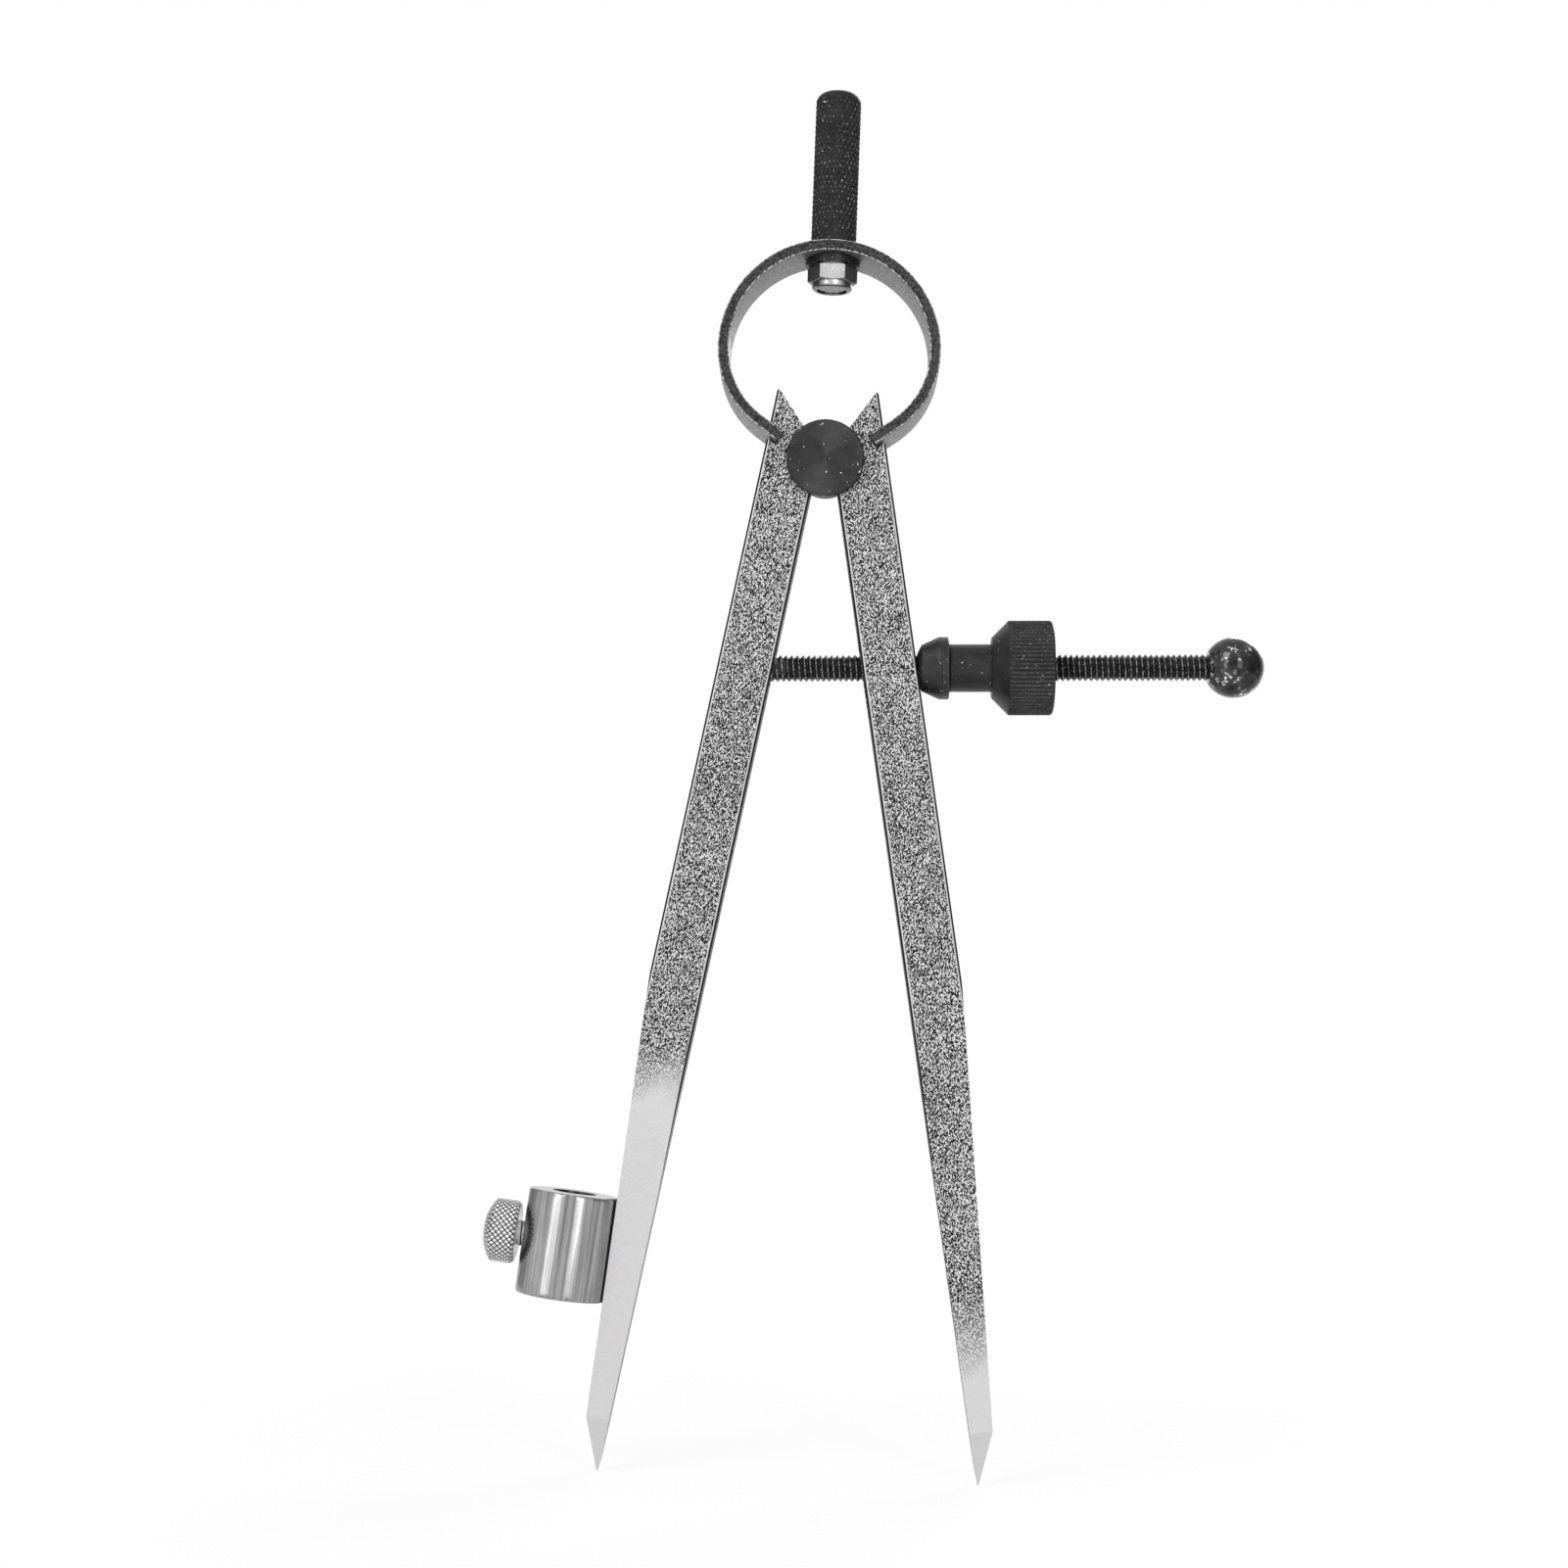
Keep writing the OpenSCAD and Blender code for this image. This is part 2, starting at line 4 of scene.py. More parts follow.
import bmesh
import bpy
import numpy as np
from bpy.props import FloatProperty, FloatVectorProperty, IntProperty, PointerProperty
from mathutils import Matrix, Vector


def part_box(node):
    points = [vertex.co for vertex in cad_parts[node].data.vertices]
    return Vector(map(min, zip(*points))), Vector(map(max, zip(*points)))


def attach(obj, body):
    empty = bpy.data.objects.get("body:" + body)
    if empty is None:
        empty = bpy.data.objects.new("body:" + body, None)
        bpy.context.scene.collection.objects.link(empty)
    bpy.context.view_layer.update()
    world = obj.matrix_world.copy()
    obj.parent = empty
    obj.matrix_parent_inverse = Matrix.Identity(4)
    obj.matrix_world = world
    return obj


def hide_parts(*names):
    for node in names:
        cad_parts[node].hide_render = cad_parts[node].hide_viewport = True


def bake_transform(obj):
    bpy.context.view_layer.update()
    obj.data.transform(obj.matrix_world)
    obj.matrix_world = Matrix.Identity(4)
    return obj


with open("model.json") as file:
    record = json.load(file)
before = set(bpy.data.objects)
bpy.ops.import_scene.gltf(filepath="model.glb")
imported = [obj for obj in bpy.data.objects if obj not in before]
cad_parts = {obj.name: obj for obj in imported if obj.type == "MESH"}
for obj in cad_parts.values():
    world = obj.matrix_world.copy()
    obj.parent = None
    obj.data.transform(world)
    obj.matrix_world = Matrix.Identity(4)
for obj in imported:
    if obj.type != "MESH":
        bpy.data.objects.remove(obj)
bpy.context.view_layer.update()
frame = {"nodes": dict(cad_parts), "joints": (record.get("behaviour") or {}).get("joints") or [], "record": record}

bl_info = {
    "name": "Compass divider looks",
    "version": (1, 0, 0),
    "blender": (4, 5, 0),
    "location": "3D View > Sidebar > Divider",
    "description": "Dresses the divider's solids with threads, knurls, a bending bow and metal finishes",
    "category": "Object",
}

MM = 0.001
TURN = 2 * math.pi
UP = (0, 0, 1)
BACK = (0, 1, 0)
WHITE = (1, 1, 1, 1)

# Places that the frame gives
JOINTS = {joint["name"]: joint for joint in frame["joints"]}
MOUNTS = {mount["name"]: mount for mount in frame["record"]["mounts"]}
FULCRUM = np.array(JOINTS["left_leg_swing"]["pos_m"])
PIVOT = np.array(JOINTS["screw_swing"]["pos_m"])
SCREW_LINE = np.array(JOINTS["washer_travel"]["axis"])
TUBE_MIDDLE = np.array(MOUNTS["pencil_bore"]["pos_m"])
TUBE_UP = -np.array(MOUNTS["pencil_bore"]["axis"])
THUMB_OUT = -np.array(JOINTS["thumb_screw_travel"]["axis"])

# Sizes in millimetres that several pieces share
SCREW_RADIUS = 2.5
SCREW_BORE = 2.55
CROWN_RADIUS = 20.5
THUMB_RISE = 0.9

# Points closer than this, in metres, are one, and edges sharper than this stay sharp
MERGE_WITHIN = 1e-7
SHARP_ANGLE = math.radians(30)

# Square rings of grid points about a cross hole: the one that becomes its rim and the one that stays square
HOLE_RIM = 8
HOLE_REACH = 20


class DividerSizes(bpy.types.PropertyGroup):
    """Sizes of the fine detail that the solids leave out."""

    thread_pitch: FloatProperty(
        name="Thread pitch", description="Distance between the crests of the screw's thread",
        default=1.05 * MM, min=0.5 * MM, max=2 * MM, subtype="DISTANCE", unit="LENGTH", precision=5)
    thread_depth: FloatProperty(
        name="Thread depth", description="Height of the screw's thread from root to crest",
        default=0.55 * MM, min=0.1 * MM, max=1 * MM, subtype="DISTANCE", unit="LENGTH", precision=5)
    handle_ridges: IntProperty(
        name="Handle ridges", description="Ridges of each hand round the handle's knurl",
        default=30, min=16, max=60)
    handle_pitch: FloatProperty(
        name="Handle knurl pitch", description="Length of one diamond of the handle's knurl",
        default=1.9 * MM, min=0.5 * MM, max=3 * MM, subtype="DISTANCE", unit="LENGTH", precision=5)
    nut_ridges: IntProperty(
        name="Nut ridges", description="Straight ridges round the adjusting nut's head",
        default=66, min=24, max=120)
    thumb_ridges: IntProperty(
        name="Thumb screw ridges", description="Ridges of each hand round the thumb screw's head",
        default=34, min=16, max=60)
    knurl_depth: FloatProperty(
        name="Knurl depth", description="Depth of the grooves of every knurl",
        default=0.24 * MM, min=0.05 * MM, max=0.5 * MM, subtype="DISTANCE", unit="LENGTH", precision=5)
    bow_edge: FloatProperty(
        name="Bow edge", description="Radius along the edges of the bow's strip",
        default=0.36 * MM, min=0.05 * MM, max=0.9 * MM, subtype="DISTANCE", unit="LENGTH", precision=5)


class DividerColours(bpy.types.PropertyGroup):
    """Colours of the finishes."""

    # Also the painted shade on the legs' sides and the painted dark outline along their chamfers.
    leg_dark: FloatVectorProperty(
        name="Leg dark", description="Darkest grain of the phosphated legs",
        default=(0.012, 0.012, 0.0125), size=3, min=0, max=1, subtype="COLOR")
    leg_pale: FloatVectorProperty(
        name="Leg pale", description="Palest grain of the phosphated legs",
        default=(0.64, 0.64, 0.645), size=3, min=0, max=1, subtype="COLOR")
    leg_ground: FloatVectorProperty(
        name="Leg ground", description="Ground steel at the legs' lower ends",
        default=(0.595, 0.585, 0.595), size=3, min=0, max=1, subtype="COLOR")
    # Also the painted shade in the grooves of the bright knurls and threads.
    black: FloatVectorProperty(
        name="Black oxide", description="Blackened steel of the handle, bow, nut and screw",
        default=(0.010, 0.010, 0.0105), size=3, min=0, max=1, subtype="COLOR")
    # Also the painted shade on the lock nut's flanks and the painted sheen of turned faces.
    worn_black: FloatVectorProperty(
        name="Worn black", description="Black oxide where ridges are rubbed",
        default=(0.16, 0.16, 0.162), size=3, min=0, max=1, subtype="COLOR")
    # Painted sheen: this colour lightens the bow's broad faces.
    bow_sheen: FloatVectorProperty(
        name="Bow side", description="Rolled broad faces of the bow's strip",
        default=(0.14, 0.14, 0.142), size=3, min=0, max=1, subtype="COLOR")
    # Also the painted highlight on the legs' chamfers, the bow's corners, the ball and the ridges of black parts.
    bright: FloatVectorProperty(
        name="Bright plate", description="Bright plated steel of the lock nut and thumb screw",
        default=(0.80, 0.80, 0.805), size=3, min=0, max=1, subtype="COLOR")
    tube: FloatVectorProperty(
        name="Tube steel", description="Turned steel of the pencil tube",
        default=(0.165, 0.165, 0.168), size=3, min=0, max=1, subtype="COLOR")
    nylon: FloatVectorProperty(
        name="Nylon", description="Nylon ring in the lock nut",
        default=(0.75, 0.75, 0.70), size=3, min=0, max=1, subtype="COLOR")


def unit(vector):
    """A vector scaled to length one."""
    vector = np.asarray(vector, float)
    return vector / np.linalg.norm(vector)


def lathe(origin, axis, across=BACK):
    """The place of a turned piece: its origin, two unit vectors across its axis and one along it."""
    along = unit(axis)
    side = unit(np.asarray(across, float) - np.dot(across, along) * along)
    return np.asarray(origin, float), side, np.cross(along, side), along


def measured(node, place):
    """First and last distance of a CAD node along a place's axis and its largest radius, in millimetres."""
    origin, _, _, along = place
    vertices = frame["nodes"][node].data.vertices
    points = np.empty(3 * len(vertices))
    vertices.foreach_get("co", points)
    arms = points.reshape(-1, 3) - origin
    distance = arms @ along
    radius = np.linalg.norm(arms - distance[:, None] * along, axis=1)
    return distance.min() / MM, distance.max() / MM, radius.max() / MM


def ridge(phase):
    """Triangle wave of period 1: 0 at whole numbers and 1 halfway between them."""
    return 1 - np.abs(2 * (phase - np.floor(phase)) - 1)


def diamonds(angle, along, count, pitch):
    """Height of a diamond knurl, 0 to 1: the lower of two helical ridges of opposite hands."""
    turns = count * angle / TURN
    return np.minimum(ridge(turns + along / pitch), ridge(turns - along / pitch))


def dome_ball(radius, rise):
    """Radius of the ball that a dome is cut from, and the dome's half angle in degrees."""
    ball = (radius * radius + rise * rise) / (2 * rise)
    return ball, math.degrees(math.asin(radius / ball))


def steps(*stops):
    """A polyline through (radius, distance, pieces) stops, each leg cut into that many equal pieces."""
    rows = [np.array([stops[0][:2]], float)]
    for before, after in zip(stops[:-1], stops[1:]):
        share = np.linspace(0, 1, after[2] + 1)[1:, None]
        rows.append(np.array(before[:2]) * (1 - share) + np.array(after[:2]) * share)
    return np.concatenate(rows) * MM


def arc(radius, centre, first, last, pieces):
    """Part of a circle in the half section: centre plus radius times (sin, cos) of the angle in degrees."""
    angle = np.radians(np.linspace(first, last, pieces + 1))
    return (np.array(centre) + radius * np.stack([np.sin(angle), np.cos(angle)], 1)) * MM


def spun(profile, around):
    """Grids of radius, distance and angle for a half section turned through a full circle."""
    angle = np.arange(around) * TURN / around
    radius = np.repeat(profile[:, :1], around, 1)
    distance = np.repeat(profile[:, 1:], around, 1)
    return radius, distance, np.repeat(angle[None], len(profile), 0)


def turned_points(place, radius, distance, angle):
    """origin + radius (cos angle side + sin angle other side) + distance along the axis."""
    origin, side, other, along = place
    return (origin
            + (radius * np.cos(angle))[..., None] * side
            + (radius * np.sin(angle))[..., None] * other
            + distance[..., None] * along)


def skin(name, points, crest=0.0, ring=False, ends=False, hole=None):
    """An object from a grid of points whose columns close on themselves.

    Row i, column j joins row i + 1 and column j + 1 in one face. A ring joins its last row to its
    first; ends closes the first and last rows with a face each. A hole says which faces stay, gives the
    corners of the faces inside it and how far, in turns, its points are moved round the columns. The UV
    map runs once round the columns and once along the rows, and crest is kept as an attribute.
    """
    rows, columns = points.shape[:2]
    bands = rows if ring else rows - 1
    row, column = np.meshgrid(np.arange(bands), np.arange(columns), indexing="ij")
    below, right = (row + 1) % rows, (column + 1) % columns
    quads = np.stack([row * columns + column, row * columns + right,
                      below * columns + right, below * columns + column], -1)
    across = np.stack([column, column + 1, column + 1, column], -1) / columns
    down = np.stack([row, row, row + 1, row + 1], -1) / bands
    if hole:
        kept, inside, moved = hole
        quads = np.concatenate([quads[kept], inside])
        across = np.concatenate([across[kept], inside % columns / columns]) + moved.ravel()[quads]
        down = np.concatenate([down[kept], inside // columns / bands])
    used, quads = np.unique(quads.ravel(), return_inverse=True)
    faces = quads.reshape(-1, 4).tolist()
    across, down = across.ravel(), down.ravel()
    if ends:
        faces += [list(range(columns)), list(range((rows - 1) * columns, rows * columns))]
        rim = np.arange(columns) / columns
        across = np.concatenate([across, rim, rim])
        down = np.concatenate([down, np.zeros(columns), np.ones(columns)])
    mesh = bpy.data.meshes.new(name)
    mesh.from_pydata(points.reshape(-1, 3)[used].tolist(), [], faces)
    mesh.uv_layers.new(name="turn").data.foreach_set(
        "uv", np.stack([across, down], 1).astype(np.float32).ravel())
    height = np.broadcast_to(crest, (rows, columns)).ravel()[used]
    mesh.attributes.new("crest", "FLOAT", "POINT").data.foreach_set("value", height.astype(np.float32))
    shell = bmesh.new()
    shell.from_mesh(mesh)
    bmesh.ops.remove_doubles(shell, verts=shell.verts, dist=MERGE_WITHIN)
    bmesh.ops.recalc_face_normals(shell, faces=shell.faces)
    shell.to_mesh(mesh)
    shell.free()
    mesh.polygons.foreach_set("use_smooth", np.ones(len(mesh.polygons), bool))
    mesh.set_sharp_from_angle(angle=SHARP_ANGLE)
    piece = bpy.data.objects.new(name, mesh)
    bpy.context.collection.objects.link(piece)
    return piece


def dress(piece, finish, body, node=None):
    """Gives a piece its material, the body it moves with and the node it stands for."""
    piece.data.materials.append(finish)
    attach(piece, body)
    if node:
        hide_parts(node)


def coat(node, finish):
    """Gives a CAD node a material."""
    solid = frame["nodes"][node]
    solid.data.materials.clear()
    solid.data.materials.append(finish)


def feed(tree, socket, value):
    """Links another socket to a socket, or sets its plain value."""
    if isinstance(value, bpy.types.NodeSocket):
        tree.links.new(value, socket)
    else:
        socket.default_value = value


def put(tree, kind, settings=None, **values):
    """A new node. Values named a, b, c... go to its first inputs, others to the input of that name."""
    made = tree.nodes.new(kind)
    for key, value in (settings or {}).items():
        setattr(made, key, value)
    for key, value in values.items():
        place = ord(key) - ord("a") if len(key) == 1 else key.replace("_", " ")
        feed(tree, made.inputs[place], value)
    return made


def sums(tree, operation, a, b=0.0):
    """One step of arithmetic."""
    return put(tree, "ShaderNodeMath", {"operation": operation}, a=a, b=b).outputs[0]


def spread(tree, value, low, high, first=0.0, last=1.0):
    """A value mapped from low..high to first..last and held there."""
    return put(tree, "ShaderNodeMapRange", {"clamp": True}, Value=value, From_Min=low, From_Max=high,
               To_Min=first, To_Max=last).outputs[0]


def blended(tree, share, first, last):
    """A colour between two colours or colour sockets."""
    share_input, first_input, last_input, colour_output = 0, 6, 7, 2
    made = put(tree, "ShaderNodeMix", {"data_type": "RGBA"})
    feed(tree, made.inputs[share_input], share)
    for index, colour in ((first_input, first), (last_input, last)):
        plain = not isinstance(colour, bpy.types.NodeSocket)
        feed(tree, made.inputs[index], (*colour, 1) if plain else colour)
    return made.outputs[colour_output]


def tinted(tree, mask, most, first, last):
    """A colour that goes from first towards last where the mask is 1, by no more than the share most."""
    return blended(tree, sums(tree, "MULTIPLY", mask, most), first, last)


def effect(name, takes, gives):
    """An empty shader node group with named number inputs and outputs, and its two end nodes."""
    group = bpy.data.node_groups.new(name, "ShaderNodeTree")
    for key, value in takes.items():
        group.interface.new_socket(key, in_out="INPUT", socket_type="NodeSocketFloat").default_value = value
    for key in gives:
        group.interface.new_socket(key, in_out="OUTPUT", socket_type="NodeSocketFloat")
    return group, group.nodes.new("NodeGroupInput"), group.nodes.new("NodeGroupOutput")


def grain_effect():
    """Grain over the object from 0 to 1: fine specks, broad clouds and a few nicks where a coat is chipped.

    Specks, Clouds and Nicks are their sizes in millimetres. The grain is drawn out by Stretch along an
    upright line that leans over by Lean radians about the Y axis, and its cells lie askew to the flat
    faces, so that no face runs along a plane of weak grain. Each kind is a noise cut off below and above.
    """
    takes = {"Specks": 0.6, "Clouds": 8.0, "Nicks": 0.7, "Lean": 0.0, "Stretch": 1.0}
    group, given, result = effect("metal grain", takes, ["Specks", "Clouds", "Nicks"])
    place = group.nodes.new("ShaderNodeTexCoord").outputs["Object"]
    upright = put(group, "ShaderNodeVectorRotate", {"rotation_type": "Y_AXIS"}, Vector=place,
                  Angle=given.outputs["Lean"])
    shrink = sums(group, "DIVIDE", 1.0, given.outputs["Stretch"])
    squeeze = put(group, "ShaderNodeCombineXYZ", a=1.0, b=1.0, c=shrink)
    drawn = put(group, "ShaderNodeVectorMath", {"operation": "MULTIPLY"}, a=upright.outputs[0],
                b=squeeze.outputs[0])
    askew = (0.6, 0.5, 0.4)
    skewed = put(group, "ShaderNodeVectorRotate", {"rotation_type": "EULER_XYZ"}, Vector=drawn.outputs[0],
                 Rotation=askew)
    kinds = (("Specks", 2.0, 0.435, 0.565), ("Clouds", 4.0, 0.3, 0.7), ("Nicks", 4.0, 0.67, 0.70))
    for name, detail, low, high in kinds:
        scale = sums(group, "DIVIDE", 1 / MM, given.outputs[name])
        noise = put(group, "ShaderNodeTexNoise", Vector=skewed.outputs[0], Scale=scale, Detail=detail,
                    Roughness=0.6)
        group.links.new(spread(group, noise.outputs[0], low, high), result.inputs[name])


def facing_effect():
    """How far a face looks front or back: Flat is 1 on such faces, Bevel is 1 on faces at 45 degrees.

    Soft is the change in the normal's Y part, away from 45 degrees, at which Bevel is gone.
    """
    group, given, result = effect("facing", {"Soft": 0.12}, ["Flat", "Bevel"])
    slant, flat_from, flat_to, core = 0.7071, 0.75, 0.95, 0.4
    normal = group.nodes.new("ShaderNodeNewGeometry").outputs["Normal"]
    depth = sums(group, "ABSOLUTE", put(group, "ShaderNodeSeparateXYZ", Vector=normal).outputs["Y"])
    group.links.new(spread(group, depth, flat_from, flat_to), result.inputs["Flat"])
    off = sums(group, "ABSOLUTE", sums(group, "SUBTRACT", depth, slant))
    near = sums(group, "DIVIDE", off, given.outputs["Soft"])
    group.links.new(spread(group, near, core, 1.0, 1.0, 0.0), result.inputs["Bevel"])


def wear_and_glint_effect():
    """Ridges brightened by use and by a painted highlight: how far the crest attribute rises over Start, broken up
    by Specks.
    """
    group, given, result = effect("ridge wear", {"Specks": 0.5, "Start": 0.55}, ["Wear"])
    bare_at = 0.3
    crest = put(group, "ShaderNodeAttribute", {"attribute_name": "crest"}).outputs["Fac"]
    over = sums(group, "SUBTRACT", spread(group, crest, 0.0, 1.0), given.outputs["Start"])
    rubbed_and_lit = sums(group, "MULTIPLY", over, given.outputs["Specks"])
    group.links.new(spread(group, rubbed_and_lit, 0.0, bare_at), result.inputs["Wear"])


def use(tree, name, **values):
    """The outputs of a placed copy of a shared effect, with its own values."""
    return put(tree, "ShaderNodeGroup", {"node_tree": bpy.data.node_groups[name]}, **values).outputs


def start_finish(name):
    """A material with only its output and a Principled shader, and its node tree."""
    finish = bpy.data.materials.new(name)
    finish.use_nodes = True
    tree = finish.node_tree
    tree.nodes.clear()
    shader = put(tree, "ShaderNodeBsdfPrincipled")
    put(tree, "ShaderNodeOutputMaterial", Surface=shader.outputs[0])
    return finish, tree, shader


def surface(tree, shader, tone, mask, rough, metal=0.0, gloss=0.5):
    """Gives a shader its colour, its share of metal and the strength of its sheen.

    Rough holds its roughness where the mask is 0 and where it is 1.
    """
    tree.links.new(tone, shader.inputs["Base Color"])
    tree.links.new(spread(tree, mask, 0.0, 1.0, *rough), shader.inputs["Roughness"])
    shader.inputs["Metallic"].default_value = metal
    shader.inputs["Specular IOR Level"].default_value = gloss


def bump(tree, shader, height, distance):
    """Raises the shader's surface by a height socket over a distance in metres."""
    made = put(tree, "ShaderNodeBump", Strength=0.6, Distance=distance, Height=height)
    tree.links.new(made.outputs[0], shader.inputs["Normal"])


def turn_map(tree):
    """The UV map of a turned piece, X round its axis and Y along its section."""
    return put(tree, "ShaderNodeUVMap", {"uv_map": "turn"}).outputs[0]


def leg_finish(colours, name, ground_at, lean):
    """Speckled phosphated steel, ground bright below a height with a ragged edge, with painted shade on its sides.

    The bevels along the long edges get a painted highlight on the half next to the front or back face and
    a painted dark outline on the half next to the side.
    """
    finish, tree, shader = start_finish(name)
    grain = use(tree, "metal grain", Specks=0.22, Clouds=9.0, Lean=lean, Stretch=1.8)
    face = use(tree, "facing", Soft=0.12)
    place = put(tree, "ShaderNodeSeparateXYZ",
                Vector=tree.nodes.new("ShaderNodeTexCoord").outputs["Object"]).outputs
    ragged, fade_above, fade_below = 7 * MM, 9 * MM, 3 * MM
    edge = sums(tree, "ADD", place["Z"], sums(tree, "MULTIPLY", grain["Clouds"], ragged))
    ground = spread(tree, edge, ground_at + fade_above, ground_at - fade_below)
    fine, broad, dark_below, pale_above = 0.85, 0.15, 0.50, 0.82
    specks = sums(tree, "ADD", sums(tree, "MULTIPLY", grain["Specks"], fine),
                  sums(tree, "MULTIPLY", grain["Clouds"], broad))
    mottle = blended(tree, spread(tree, specks, dark_below, pale_above), colours.leg_dark, colours.leg_pale)
    pale = tinted(tree, grain["Clouds"], 0.25, colours.leg_ground, colours.leg_pale)
    front = blended(tree, ground, mottle, pale)
    # Painted shade: the side faces are darkened towards leg_dark.
    painted_side_shade = blended(tree, 0.6, front, colours.leg_dark)
    faces = blended(tree, face["Flat"], painted_side_shade, front)
    # Painted highlight on the half of each chamfer next to the front or back face, painted dark outline on the
    # half next to the side.
    half, dark_depth, bright_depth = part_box("left_leg")[1].y, 0.28 * MM, 0.20 * MM
    highlight_half = spread(tree, sums(tree, "ABSOLUTE", place["Y"]), half - dark_depth, half - bright_depth)
    painted_edge_lines = blended(tree, highlight_half, colours.leg_dark, colours.bright)
    tone = tinted(tree, face["Bevel"], 0.95, faces, painted_edge_lines)
    surface(tree, shader, tone, grain["Specks"], rough=(0.55, 0.42), metal=0.25, gloss=0.12)
    bump(tree, shader, grain["Specks"], 0.04 * MM)
    return finish


def black_finish(colours, name, roughness, wear_and_glint_from, rubbed_and_lit, sparse=0.0, gloss=0.28):
    """Black oxide with faint clouds and nicks, brightened along its ridges by use and by a painted highlight.

    The value worn is the height of a ridge where the brightening starts, rubbed how far it goes and sparse
    the share of the grain that escapes it, all from 0 to 1. Gloss is the strength of the sheen.
    """
    finish, tree, shader = start_finish(name)
    grain = use(tree, "metal grain", Specks=0.35, Clouds=3.0)
    wear_and_glint = use(tree, "ridge wear", Specks=spread(tree, grain["Specks"], sparse, 1.0), Start=wear_and_glint_from)
    cloud = tinted(tree, grain["Clouds"], 0.10, colours.black, colours.worn_black)
    chipped = 0.5
    # Bright along the ridges, by use and as a painted highlight, and where the coat is chipped.
    bare_and_lit = sums(tree, "MAXIMUM", sums(tree, "MULTIPLY", wear_and_glint["Wear"], rubbed_and_lit),
                sums(tree, "MULTIPLY", grain["Nicks"], chipped))
    tone = blended(tree, bare_and_lit, cloud, colours.bright)
    rough = (roughness - 0.06, roughness + 0.08)
    surface(tree, shader, tone, grain["Clouds"], rough, metal=0.25, gloss=gloss)
    bump(tree, shader, grain["Specks"], 0.01 * MM)
    return finish


def ball_finish(colours, name):
    """Polished black oxide that mirrors the lamps, bright where specks and clouds are both high: scuffed metal and
    painted highlight.
    """
    finish, tree, shader = start_finish(name)
    grain = use(tree, "metal grain", Specks=0.9, Clouds=3.2)
    speck_from, cloud_from, cloud_to = 0.8, 0.55, 0.8
    scuffs_and_glints = sums(tree, "MULTIPLY", spread(tree, grain["Specks"], speck_from, 1.0),
                  spread(tree, grain["Clouds"], cloud_from, cloud_to))
    cloud = tinted(tree, grain["Clouds"], 0.5, colours.black, colours.worn_black)
    # Scuffed metal and painted highlight: bright patches where specks and clouds are both high.
    tone = blended(tree, scuffs_and_glints, cloud, colours.bright)
    surface(tree, shader, tone, grain["Clouds"], rough=(0.08, 0.18), metal=0.9)
    bump(tree, shader, grain["Clouds"], 0.05 * MM)
    return finish


def turned_finish(colours, name, sheen_sectors, marks):
    """Black oxide on a turned piece, with nicks, tool marks and a painted sheen.

    The value sectors is how far two broad wedges round the axis are lightened as a painted sheen of the turned
    face, and marks how far the tool marks are.
    """
    finish, tree, shader = start_finish(name)
    grain = use(tree, "metal grain", Specks=0.3, Clouds=2.0)
    turn = put(tree, "ShaderNodeSeparateXYZ", Vector=turn_map(tree)).outputs
    start, sheen_sector_from, ring_phase, ring_from = 0.5, -0.4, 160.0, 0.4
    # Painted sheen: two broad wedges round the axis are lightened, standing in for the turned face's reflection.
    swing = put(tree, "ShaderNodeMath", {"operation": "MULTIPLY_ADD"}, a=turn["X"], b=2 * TURN, c=start)
    wave = sums(tree, "COSINE", swing.outputs[0])
    sheen_sector = sums(tree, "POWER", spread(tree, wave, sheen_sector_from, 1.0), 2.0)
    rings = sums(tree, "SINE", sums(tree, "MULTIPLY", turn["Y"], ring_phase))
    pale = sums(tree, "MAXIMUM", sums(tree, "MULTIPLY", sheen_sector, sheen_sectors),
                sums(tree, "MULTIPLY", spread(tree, rings, ring_from, 1.0), marks))
    cloud = tinted(tree, grain["Clouds"], 0.10, colours.black, colours.worn_black)
    marked = blended(tree, pale, cloud, colours.worn_black)
    tone = blended(tree, grain["Nicks"], marked, colours.bright)
    surface(tree, shader, tone, grain["Specks"], rough=(0.34, 0.46), metal=0.3, gloss=0.35)
    bump(tree, shader, rings, 0.006 * MM)
    return finish


def bow_finish(colours, name):
    """Spring strip: blackened edges with a painted highlight in specks along the corners, and broad faces
    lightened as a painted sheen.
    """
    finish, tree, shader = start_finish(name)
    grain = use(tree, "metal grain", Specks=0.5, Clouds=5.0)
    face = use(tree, "facing", Soft=0.27)
    # Painted sheen: the broad faces are lighter than the black edges.
    painted_sheen_faces = tinted(tree, grain["Clouds"], 0.6, colours.bow_sheen, colours.worn_black)
    edge = tinted(tree, grain["Specks"], 0.25, colours.black, colours.worn_black)
    faces = blended(tree, face["Flat"], painted_sheen_faces, edge)
    # Painted highlight: bright specks along the rounded corners.
    corner = sums(tree, "MULTIPLY", face["Bevel"], grain["Specks"])
    tone = tinted(tree, corner, 0.9, faces, colours.bright)
    surface(tree, shader, tone, grain["Specks"], rough=(0.30, 0.48), metal=0.35, gloss=0.35)
    bump(tree, shader, grain["Specks"], 0.01 * MM)
    return finish


